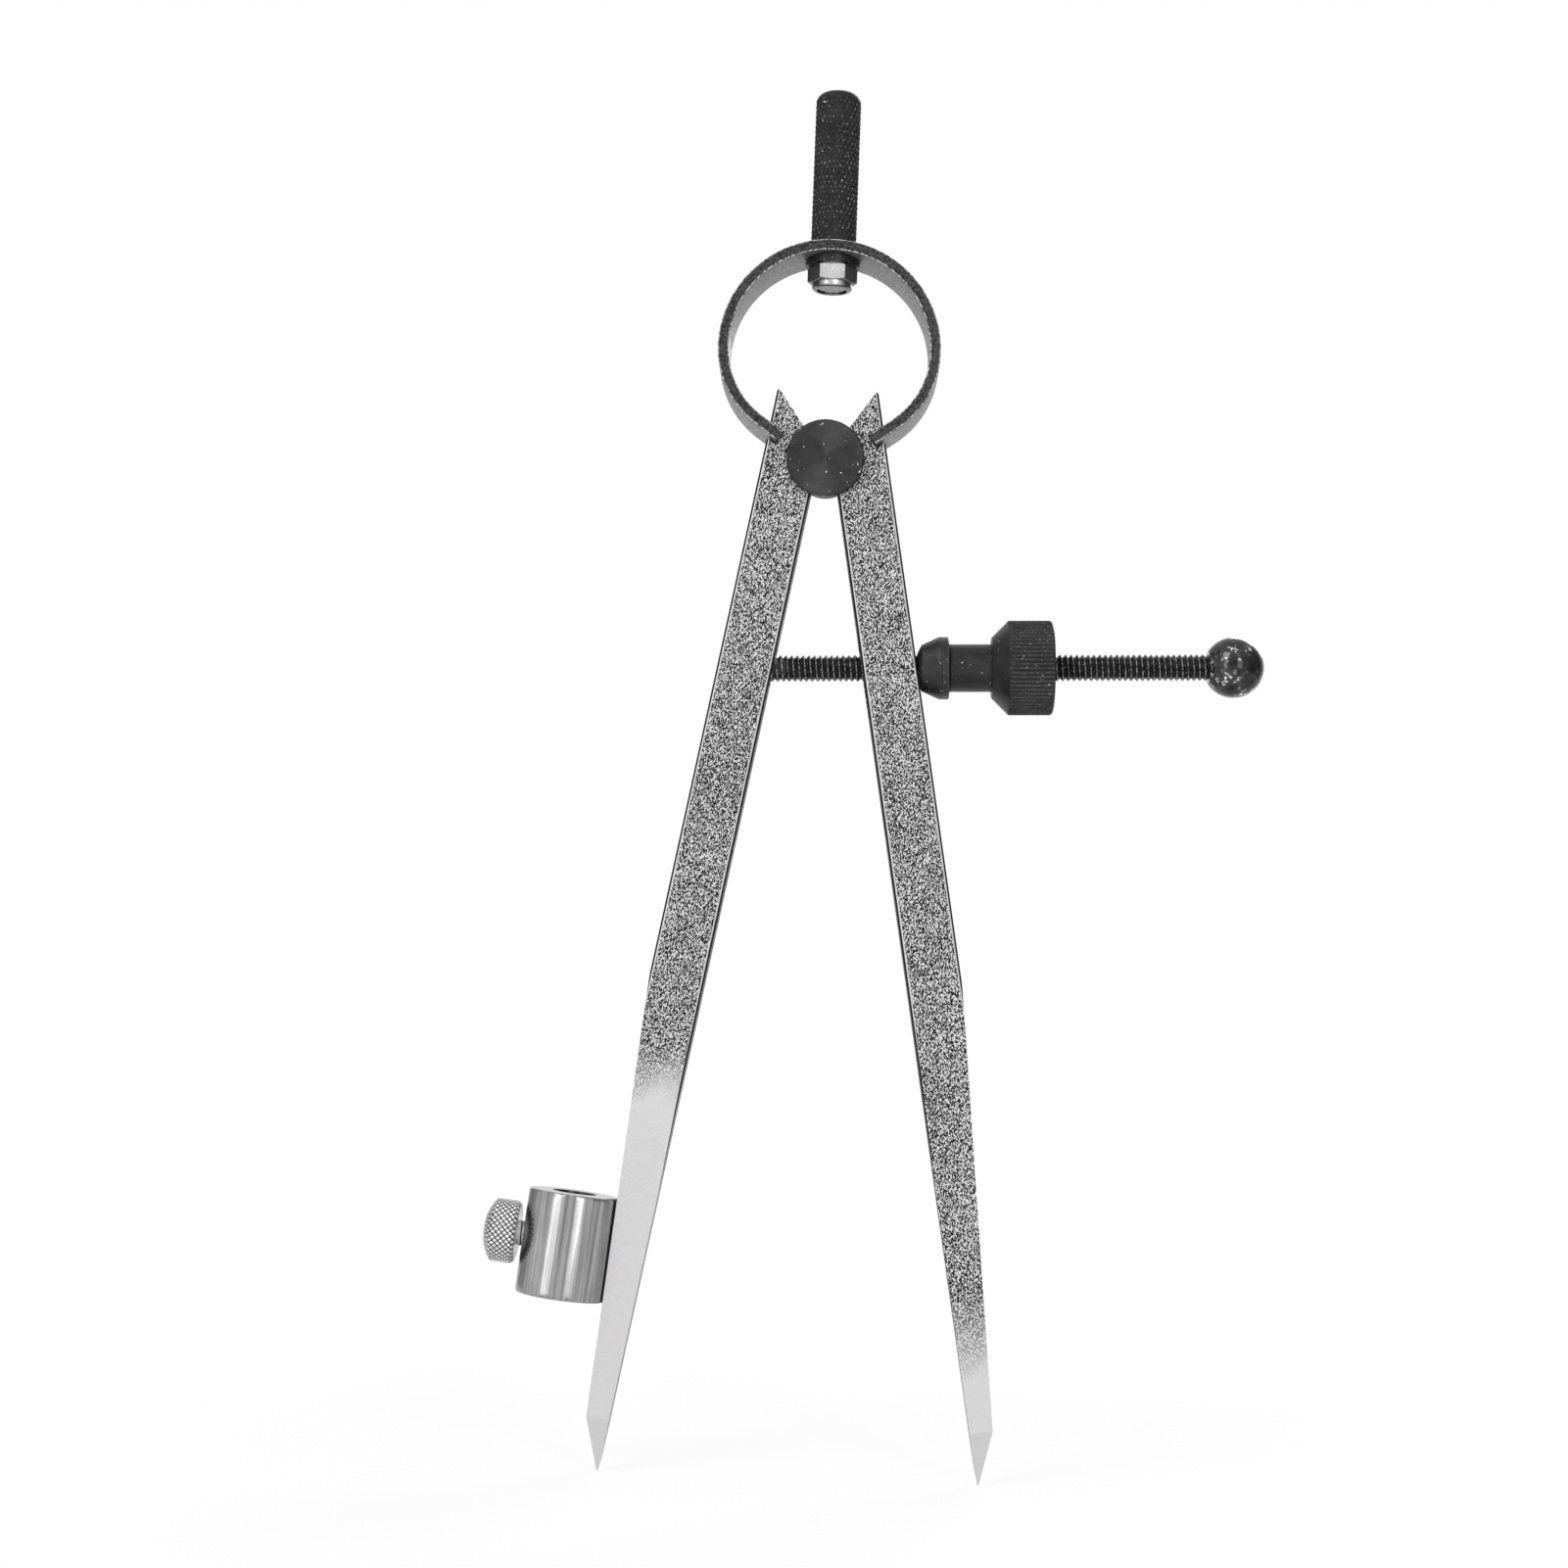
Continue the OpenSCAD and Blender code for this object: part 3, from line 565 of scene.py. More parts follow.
def bright_finish(colours, name, groove_shade, metal):
    """Bright plate with painted shade in its grooves, darker where the crest is low by the groove share, and
    metallic by the metal share.
    """
    finish, tree, shader = start_finish(name)
    grain = use(tree, "metal grain", Specks=0.4, Clouds=2.5)
    dark_below, bright_above = 0.24, 0.40
    crest = put(tree, "ShaderNodeAttribute", {"attribute_name": "crest"}).outputs["Fac"]
    # Painted shade: where the crest is low the colour goes towards black.
    low = spread(tree, crest, dark_below, bright_above, 1.0, 0.0)
    cloud = tinted(tree, grain["Clouds"], 0.15, colours.bright, colours.tube)
    tone = tinted(tree, low, groove_shade, cloud, colours.black)
    surface(tree, shader, tone, grain["Specks"], rough=(0.16, 0.28), metal=metal)
    return finish


def painted_light_facets(colours, name):
    """Bright plate on faces that look front or back, with painted shade on the flanks between them."""
    finish, tree, shader = start_finish(name)
    grain = use(tree, "metal grain", Specks=0.4, Clouds=6.0)
    face = use(tree, "facing", Soft=0.12)
    least, most = 0.3, 0.6
    dulled = spread(tree, grain["Clouds"], 0.0, 1.0, least, most)
    cloud = blended(tree, dulled, colours.bright, colours.tube)
    # Painted light: faces that look front or back are bright, the flanks between them dark.
    tone = blended(tree, face["Flat"], colours.worn_black, cloud)
    surface(tree, shader, tone, grain["Specks"], rough=(0.2, 0.32), metal=0.8)
    return finish


def tube_finish(colours, name):
    """Turned and polished steel with fine streaks along the tube."""
    finish, tree, shader = start_finish(name)
    grain = use(tree, "metal grain", Specks=0.5, Clouds=4.0)
    streaks_round, streaks_along, dark_below, pale_above = 90.0, 1.5, 0.3, 0.7
    drawn = put(tree, "ShaderNodeMapping", Vector=turn_map(tree), Scale=(streaks_round, streaks_along, 1.0))
    noise = put(tree, "ShaderNodeTexNoise", Vector=drawn.outputs[0], Scale=1.0, Detail=4.0, Roughness=0.6)
    streaks = spread(tree, noise.outputs[0], dark_below, pale_above)
    steel = tinted(tree, streaks, 0.5, colours.tube, colours.bright)
    tone = tinted(tree, grain["Clouds"], 0.2, steel, colours.worn_black)
    surface(tree, shader, tone, streaks, rough=(0.14, 0.24), metal=1.0)
    return finish


def nylon_finish(colours, name):
    """Off-white nylon with a faint moulded grain."""
    finish, tree, shader = start_finish(name)
    grain = use(tree, "metal grain", Specks=0.3, Clouds=1.5)
    tone = tinted(tree, grain["Clouds"], 0.3, colours.nylon, colours.bright)
    surface(tree, shader, tone, grain["Specks"], rough=(0.45, 0.6))
    return finish


class DIVIDER_OT_finishes(bpy.types.Operator):
    """Make the shared effects and give the plain CAD solids their metals"""

    bl_idname = "divider.finishes"
    bl_label = "Legs and plain solids"

    def execute(self, context):
        colours = context.scene.divider_colours
        grain_effect()
        facing_effect()
        wear_and_glint_effect()
        lean = math.radians(10)
        left = leg_finish(colours, "left leg steel", ground_at=73 * MM, lean=-lean)
        coat("left_leg", left)
        coat("screw_pivot_pin", left)
        coat("right_leg", leg_finish(colours, "right leg steel", ground_at=26 * MM, lean=lean))
        plain_black = black_finish(colours, "black oxide", roughness=0.40, wear_and_glint_from=0.55, rubbed_and_lit=0.0)
        coat("saddle_washer", plain_black)
        coat("fulcrum_roller", plain_black)
        coat("handle_stud", bright_finish(colours, "stud plate", groove_shade=0.85, metal=1.0))
        coat("lock_nut_insert", nylon_finish(colours, "nylon ring"))
        return {"FINISHED"}


class DIVIDER_OT_bow(bpy.types.Operator):
    """Make the bow as two halves that run from the head down to the legs"""

    bl_idname = "divider.bow"
    bl_label = "Bow spring"

    fixed_rows = 8
    tail_rows = 5

    def strip(self, hand, edge):
        """A rounded rectangle carried along an upper arc, a tighter lower arc and a straight tail.

        At the angle a from level the strip's middle line lies at arm (cos a, sin a) from the middle of its
        arc, and the tail runs on from the lower arc along (sin a, -cos a). The rectangle stands across it,
        with its corners rounded by the edge.
        """
        half_thick, lower_arm, lowest, tail_step, corner_points = 1.0 * MM, 16.65 * MM, -54, 1.0 * MM, 6
        upper_arm = CROWN_RADIUS * MM - half_thick
        crown = measured("bow_spring", lathe(FULCRUM, UP))[1] * MM
        middle_height = crown - CROWN_RADIUS * MM
        upper_points, lower_points = 46, 25
        upper = np.radians(np.linspace(90, 0, upper_points))
        lower = np.radians(np.linspace(0, lowest, lower_points))[1:]
        angle = np.concatenate([upper, lower, np.full(self.tail_rows, lower[-1])])
        on_upper = np.arange(len(angle)) < len(upper)
        arm = np.where(on_upper, upper_arm, lower_arm)
        middle = np.where(on_upper, 0.0, upper_arm - lower_arm)
        run = np.maximum(np.arange(len(angle)) - len(upper) - len(lower) + 1, 0) * tail_step
        x = middle + arm * np.cos(angle) + run * np.sin(angle)
        z = middle_height + arm * np.sin(angle) - run * np.cos(angle)
        starts = np.array([0, 90, 180, 270])
        turn = np.radians(starts[:, None] + np.linspace(0, 90, corner_points)).ravel()
        corner = np.repeat(np.arange(len(starts)), corner_points)
        half_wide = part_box("bow_spring")[1].y - edge
        out = np.array([1, -1, -1, 1])[corner] * (half_thick - edge) + edge * np.cos(turn)
        back = np.array([1, 1, -1, -1])[corner] * half_wide + edge * np.sin(turn)
        return np.stack([
            hand * (x[:, None] + out * np.cos(angle)[:, None]),
            np.broadcast_to(back, (len(angle), len(back))),
            z[:, None] + out * np.sin(angle)[:, None],
        ], -1) + FULCRUM

    def execute(self, context):
        edge = context.scene.divider_sizes.bow_edge
        finish = bow_finish(context.scene.divider_colours, "bow spring strip")
        for name, hand, leg in (("bow_left_half", -1, "left_leg"), ("bow_right_half", 1, "right_leg")):
            points = self.strip(hand, edge)
            piece = skin(name, points, ends=True)
            piece.data.materials.append(finish)
            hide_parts("bow_spring")
            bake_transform(piece)
        return {"FINISHED"}


class DIVIDER_OT_handle(bpy.types.Operator):
    """Make the knurled handle on the bow's crown"""

    bl_idname = "divider.handle"
    bl_label = "Handle"

    def execute(self, context):
        sizes, colours = context.scene.divider_sizes, context.scene.divider_colours
        dome, chamfer, plain_top, fade_run, plain_foot = 2.0, 0.4, 1.1, 0.9, 0.3
        rows_a_diamond, columns_a_ridge = 8, 6
        crown = measured("bow_spring", lathe(FULCRUM, UP))[1]
        place = lathe(FULCRUM + (0, 0, crown * MM), UP)
        _, length, radius = measured("handle", place)
        straight = length - dome - chamfer
        pieces = rows_a_diamond * round(straight / (sizes.handle_pitch / MM))
        profile = np.concatenate([
            steps((0, 0, 1), (radius - chamfer, 0, 2), (radius, chamfer, 1),
                  (radius, length - dome, pieces)),
            arc(dome, (radius - dome, length - dome), 90, 0, 8)[1:],
            steps((radius - dome, length, 1), (0, length, 3))[1:],
        ])
        radii, rise, angle = spun(profile, around=columns_a_ridge * sizes.handle_ridges)
        fade = np.clip(((length - plain_top) * MM - rise) / (fade_run * MM), 0, 1)
        fade = fade * (rise > plain_foot * MM)
        height = diamonds(angle, rise, sizes.handle_ridges, sizes.handle_pitch)
        radii = radii - sizes.knurl_depth * (1 - height) * fade
        # The foot's first rows are laid on the crown's cylinder
        sag = np.sqrt(np.square(CROWN_RADIUS * MM) - np.square(radii * np.sin(angle))) - CROWN_RADIUS * MM
        rise = np.where(rise < chamfer / 2 * MM, sag, rise)
        piece = skin("knurled_handle", turned_points(place, radii, rise, angle), height * fade)
        finish = black_finish(colours, "handle black oxide", roughness=0.36, wear_and_glint_from=0.58, rubbed_and_lit=0.4,
                              sparse=0.8, gloss=0.16)
        dress(piece, finish, "head", "handle")
        return {"FINISHED"}


class DIVIDER_OT_lock_nut(bpy.types.Operator):
    """Make the lock nut under the bow's crown"""

    bl_idname = "divider.lock_nut"
    bl_label = "Lock nut"

    def execute(self, context):
        low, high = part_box("lock_nut")
        tall, flat = (high.z - low.z) / MM, (high.y - low.y) / 2 / MM
        crown, crown_tall, edge, slope_in, slope_up = 3.75, 1.2, 0.6, 0.7, 0.35
        ring_radius, ring_depth, slack, half_side = 2.8, 0.3, 0.01, TURN / 12
        corner = flat / math.cos(half_side)
        profile = np.concatenate([
            steps((SCREW_RADIUS, tall, 1), (corner - edge, tall, 3)),
            arc(edge, (corner - edge, tall - edge), 0, 90, 6)[1:],
            steps((corner, tall - edge, 1), (corner, crown_tall + slope_up, 4),
                  (corner - slope_in, crown_tall, 3), (crown, crown_tall, 2), (crown, edge, 2))[1:],
            arc(edge, (crown - edge, edge), 90, 180, 6)[1:],
            steps((crown - edge, 0, 1), (ring_radius, 0, 1), (ring_radius, ring_depth, 1),
                  (SCREW_RADIUS, ring_depth, 1))[1:],
        ])
        radii, rise, angle = spun(profile, around=144)
        hexagon = flat * MM / np.cos((angle - half_side) % (2 * half_side) - half_side)
        on_body = rise > (crown_tall - slack) * MM
        radii = np.where(on_body, np.minimum(radii, hexagon), radii)
        points = turned_points(lathe((0, 0, low.z), UP, (1, 0, 0)), radii, rise, angle + half_side)
        piece = skin("lock_nut_body", points, crest=1.0, ring=True)
        finish = painted_light_facets(context.scene.divider_colours, "lock nut plate")
        dress(piece, finish, "head", "lock_nut")
        return {"FINISHED"}


class DIVIDER_OT_fulcrum(bpy.types.Operator):
    """Make the two caps and the rivet's head at the fulcrum"""

    bl_idname = "divider.fulcrum"
    bl_label = "Fulcrum"

    def cap(self, name, node, forward, finish):
        """A flat disc with a rounded rim, turned about the fulcrum's axis."""
        low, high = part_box(node)
        radius, edge = (high.x - low.x) / 2 / MM, 0.5
        near, far = sorted((abs(low.y) / MM, abs(high.y) / MM))
        profile = np.concatenate([
            steps((0, near, 1), (radius, near, 2), (radius, far - edge, 2)),
            arc(edge, (radius - edge, far - edge), 90, 0, 6)[1:],
            steps((radius - edge, far, 1), (0, far, 12))[1:],
        ])
        points = turned_points(lathe(FULCRUM, (0, forward, 0), UP), *spun(profile, around=120))
        dress(skin(name, points), finish, "head", node)

    def rivet(self, finish):
        """A plain shank with a domed head behind the rear cap."""
        low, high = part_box("fulcrum_rivet")
        front, tip = low.y / MM, high.y / MM
        head, rise, shank = 3.2, 1.1, 1.75
        ball, half_angle = dome_ball(head, rise)
        profile = np.concatenate([
            steps((0, front, 1), (shank, front, 1), (shank, tip - rise, 4), (head, tip - rise, 1)),
            arc(ball, (0, tip - ball), half_angle, 0, 10)[1:],
        ])
        points = turned_points(lathe(FULCRUM, BACK, UP), *spun(profile, around=64))
        dress(skin("rivet_with_head", points, crest=1.0), finish, "head", "fulcrum_rivet")

    def execute(self, context):
        colours = context.scene.divider_colours
        finish = turned_finish(colours, "cap black oxide", sheen_sectors=0.16, marks=0.0)
        self.cap("front_cap_disc", "fulcrum_front_cap", -1, finish)
        self.cap("rear_cap_disc", "fulcrum_rear_cap", 1, finish)
        self.rivet(bright_finish(colours, "bright plate", groove_shade=0.0, metal=1.0))
        return {"FINISHED"}


class DIVIDER_OT_screw(bpy.types.Operator):
    """Make the threaded adjusting screw with its eye, and the ball on its end"""

    bl_idname = "divider.screw"
    bl_label = "Adjusting screw"

    thread_start: FloatProperty(
        name="Thread start", description="Distance from the pivot to the first thread",
        default=5.91 * MM, unit="LENGTH")

    eye_half = 1.6

    def rod(self, sizes, place, reach, finish):
        """A helical ridge on a rod, flattened on both sides from the eye to the start of the thread.

        The radius is the crest's less the depth times a triangle wave of distance / pitch - angle / turn.
        """
        eye_end, slack, least, flat_rows, rows_a_turn = 2.2 * MM, 0.0001 * MM, 0.1, 29, 8
        turns = (reach - self.thread_start) / sizes.thread_pitch
        along = np.concatenate([np.linspace(eye_end, self.thread_start, flat_rows),
                                np.linspace(self.thread_start, reach, int(rows_a_turn * turns))[1:]])
        profile = np.stack([np.full_like(along, SCREW_RADIUS * MM), along], 1)
        radii, rise, angle = spun(profile, around=48)
        crest = ridge(rise / sizes.thread_pitch - angle / TURN)
        thread = radii - sizes.thread_depth * (1 - crest)
        flats = self.eye_half * MM / np.maximum(np.abs(np.cos(angle)), least)
        flats = np.where(rise > self.thread_start + slack, radii, np.minimum(radii, flats))
        points = turned_points(place, np.minimum(thread, flats), rise, angle)
        piece = skin("screw_thread", points, crest, ends=True)
        dress(piece, finish, "adjusting_screw", "adjusting_screw")

    def eye(self, finish):
        """A ring with broken edges on the pivot pin."""
        half, hole, edge = self.eye_half, 1.3, 0.15
        profile = steps((hole, -half, 1), (SCREW_RADIUS - edge, -half, 1), (SCREW_RADIUS, edge - half, 1),
                        (SCREW_RADIUS, half - edge, 2), (SCREW_RADIUS - edge, half, 1), (hole, half, 1))
        points = turned_points(lathe(PIVOT, BACK, UP), *spun(profile, around=64))
        dress(skin("screw_eye", points, ring=True), finish, "adjusting_screw")

    def execute(self, context):
        sizes, colours = context.scene.divider_sizes, context.scene.divider_colours
        place = lathe(PIVOT, SCREW_LINE)
        _, tip, ball = measured("ball_knob", place)
        middle = tip - ball
        finish = black_finish(colours, "screw black oxide", roughness=0.30, wear_and_glint_from=0.74, rubbed_and_lit=0.75)
        self.rod(sizes, place, middle * MM, finish)
        self.eye(finish)
        flat = 3.1
        seat = middle - math.sqrt(ball * ball - flat * flat)
        profile = np.concatenate([
            steps((0, seat, 1), (flat, seat, 3)),
            arc(ball, (0, middle), 180 - math.degrees(math.asin(flat / ball)), 0, 40)[1:],
        ])
        piece = skin("screw_ball", turned_points(place, *spun(profile, around=96)))
        finish = ball_finish(colours, "ball black oxide")
        dress(piece, finish, "adjusting_screw", "ball_knob")
        return {"FINISHED"}


class DIVIDER_OT_adjuster(bpy.types.Operator):
    """Make the round-nosed washer and the knurled adjusting nut on the screw"""

    bl_idname = "divider.adjuster"
    bl_label = "Washer and adjusting nut"

    chamfer = 0.15

    def washer(self, place, finish):
        """A ball-shaped nose, a cone and a straight rim round the screw's bore."""
        nose_ball, nose_edge, rim_width, length = 8.0, 4.3, 1.8, 6.2
        _, back, rim = measured("cone_washer", place)
        front = back - length
        radius = np.linspace(SCREW_BORE, nose_edge, 10)
        nose = np.stack([radius, front + nose_ball - np.sqrt(nose_ball * nose_ball - radius * radius)], 1)
        profile = np.concatenate([
            nose * MM,
            steps((*nose[-1], 1), (rim, back - rim_width, 6), (rim, back - self.chamfer, 2),
                  (rim - self.chamfer, back, 1), (SCREW_BORE, back, 2))[1:],
        ])
        piece = skin("washer_cone", turned_points(place, *spun(profile, around=120)), ring=True)
        dress(piece, finish, "cone_washer", "cone_washer")

    def nut(self, sizes, place, finish):
        """A neck, a shoulder at 45 degrees and a head that is cut by a triangle wave of the angle."""
        front, back, head = measured("adjusting_nut", place)
        neck, neck_end, shoulder, edge, wear_and_glint_band = 4.4, front + 7.8, 5.6, 0.4, 0.3
        profile = steps((SCREW_BORE, front, 1), (neck - self.chamfer, front, 2),
                        (neck, front + self.chamfer, 1), (neck, neck_end, 4), (shoulder, neck_end, 1),
                        (head, neck_end + head - shoulder, 10), (head, back - edge, 6),
                        (head - edge, back, 3), (SCREW_BORE, back, 3))
        radii, rise, angle = spun(profile, around=8 * sizes.nut_ridges)
        crest = ridge(sizes.nut_ridges * angle / TURN)
        knurl = head * MM - sizes.knurl_depth * (1 - crest)
        points = turned_points(place, np.minimum(radii, knurl), rise, angle)
        piece = skin("nut_with_knurl", points, crest * (radii > (head - wear_and_glint_band) * MM), ring=True)
        dress(piece, finish, "adjusting_nut", "adjusting_nut")

    def execute(self, context):
        sizes, colours = context.scene.divider_sizes, context.scene.divider_colours
        place = lathe(PIVOT, SCREW_LINE)
        self.washer(place, turned_finish(colours, "washer black oxide", sheen_sectors=0.0, marks=0.12))
        finish = black_finish(colours, "nut black oxide", roughness=0.40, wear_and_glint_from=0.6, rubbed_and_lit=0.08)
        self.nut(sizes, place, finish)
        return {"FINISHED"}


class DIVIDER_OT_pencil_clamp(bpy.types.Operator):
    """Make the pencil tube and its knurled thumb screw"""

    bl_idname = "divider.pencil_clamp"
    bl_label = "Pencil tube and thumb screw"

    def cross_hole(self, distance, angle, walls, column, rise, radius):
        """Bends the grid of a tube's two walls round a cross hole, and gives what the skin needs for it.

        The points of a wall lie on square rings about the hole's middle. The rim's ring becomes a circle
        of the radius, laid on the wall by the arc sine, the last ring stays as it was, and those between
        go over from one to the other in equal steps. The faces inside the hole join the rims of both walls.
        """
        rim, last = HOLE_RIM, HOLE_REACH
        i, j = np.meshgrid(np.arange(-last, last + 1), np.arange(-last, last + 1))
        share = np.clip((np.maximum(abs(i), abs(j)) - rim) / (last - rim), 0, 1)
        bearing = np.arctan2(j, i)
        side, full = np.arange(-rim, rim), np.full(2 * rim, rim)
        rim_i = np.concatenate([side, full, -side, -full])
        rim_j = np.concatenate([-full, side, full, -side])
        plain, kept, rims = angle.copy(), np.ones(angle.shape, bool), []
        for middle, hand, wall in walls:
            block = ((middle + hand * j) % len(angle), column + i)
            round_angle = plain[0, column] + np.arcsin(radius * np.cos(bearing) / wall)
            angle[block] = (1 - share) * round_angle + share * plain[block]
            distance[block] = (1 - share) * (rise + radius * np.sin(bearing)) + share * distance[block]
            kept[middle - rim:middle + rim, column - rim:column + rim] = False
            rims.append((middle + hand * rim_j) * angle.shape[1] + column + rim_i)
        inside = np.stack([rims[0], np.roll(rims[0], -1), np.roll(rims[1], -1), rims[1]], 1)
        return kept, inside, (angle - plain) / TURN

    def tube(self, finish):
        """A turned wall with rounded outer edges and a cross hole on the side of the thumb screw."""
        place = lathe(TUBE_MIDDLE, TUBE_UP)
        bottom, top, outer = measured("pencil_tube", place)
        bore, edge = MOUNTS["pencil_bore"]["dims"]["r_mm"], 0.5
        face_rows, edge_rows, wall_rows, around = 3, 5, 2 * HOLE_REACH, 144
        profile = np.concatenate([
            steps((bore, bottom, 1), (outer - edge, bottom, face_rows)),
            arc(edge, (outer - edge, bottom + edge), 180, 90, edge_rows)[1:],
            steps((outer, bottom + edge, 1), (outer, top - edge, wall_rows))[1:],
            arc(edge, (outer - edge, top - edge), 90, 0, edge_rows)[1:],
            steps((outer - edge, top, 1), (bore, top, face_rows), (bore, bottom, wall_rows))[1:-1],
        ])
        radii, distance, angle = spun(profile, around)
        outer_row = face_rows + edge_rows + HOLE_REACH
        inner_row = outer_row + wall_rows + edge_rows + face_rows
        walls = ((outer_row, 1, outer * MM), (inner_row, -1, bore * MM))
        bearing = math.atan2(THUMB_OUT @ place[2], THUMB_OUT @ place[1]) % TURN
        hole = self.cross_hole(distance, angle, walls, round(around * bearing / TURN),
                               THUMB_RISE * MM, SCREW_BORE * MM)
        points = turned_points(place, radii, distance, angle)
        piece = skin("pencil_tube_body", points, ring=True, hole=hole)
        dress(piece, finish, "left_leg", "pencil_tube")

    def thumb_screw(self, sizes, finish):
        """A threaded shaft and a domed head, cut by a helical ridge and by a knurl of diamonds.

        The knurl fades out over the dome, from the knurled radius down to the plain one.
        """
        place = lathe(TUBE_MIDDLE + THUMB_RISE * MM * TUBE_UP, THUMB_OUT)
        tip, end, radius = measured("thumb_screw", place)
        tall, dome, tip_edge, head_edge, margin = 6.4, 2.0, 0.3, 0.6, 0.1
        thread_pitch, thread_depth, knurl_pitch, fade_run = 0.8 * MM, 0.4 * MM, 1.05 * MM, 0.8 * MM
        head = end - tall
        ball, half_angle = dome_ball(radius, dome)
        profile = np.concatenate([
            steps((0, tip, 1), (SCREW_RADIUS - tip_edge, tip, 1), (SCREW_RADIUS, tip + tip_edge, 1),
                  (SCREW_RADIUS, head, 40), (radius - head_edge, head, 2), (radius, head + head_edge, 4),
                  (radius, end - dome, 24)),
            arc(ball, (0, end - ball), half_angle, 0, 24)[1:],
        ])
        radii, rise, angle = spun(profile, around=6 * sizes.thumb_ridges)
        plain = (SCREW_RADIUS + margin) * MM
        on_shaft = (rise < (head - margin / 2) * MM) & (radii > (SCREW_RADIUS - margin) * MM)
        on_head = (radii > plain) & (rise > (head - margin / 10) * MM)
        shaft = ridge(rise / thread_pitch - angle / TURN)
        height = diamonds(angle, rise, sizes.thumb_ridges, knurl_pitch)
        fade = np.where(on_head, np.clip((radii - plain) / fade_run, 0, 1), 1.0)
        thread_cut = np.where(on_shaft, thread_depth * (1 - shaft), 0)
        cut = np.where(on_head, sizes.knurl_depth * (1 - height), thread_cut)
        crest = np.where(on_head, 1 - (1 - height) * fade, np.where(on_shaft, shaft, 1.0))
        piece = skin("thumb_screw_body", turned_points(place, radii - cut * fade, rise, angle), crest)
        dress(piece, finish, "thumb_screw", "thumb_screw")

    def execute(self, context):
        sizes, colours = context.scene.divider_sizes, context.scene.divider_colours
        self.tube(tube_finish(colours, "tube steel"))
        self.thumb_screw(sizes, bright_finish(colours, "knurled plate", groove_shade=0.97, metal=0.3))
        return {"FINISHED"}


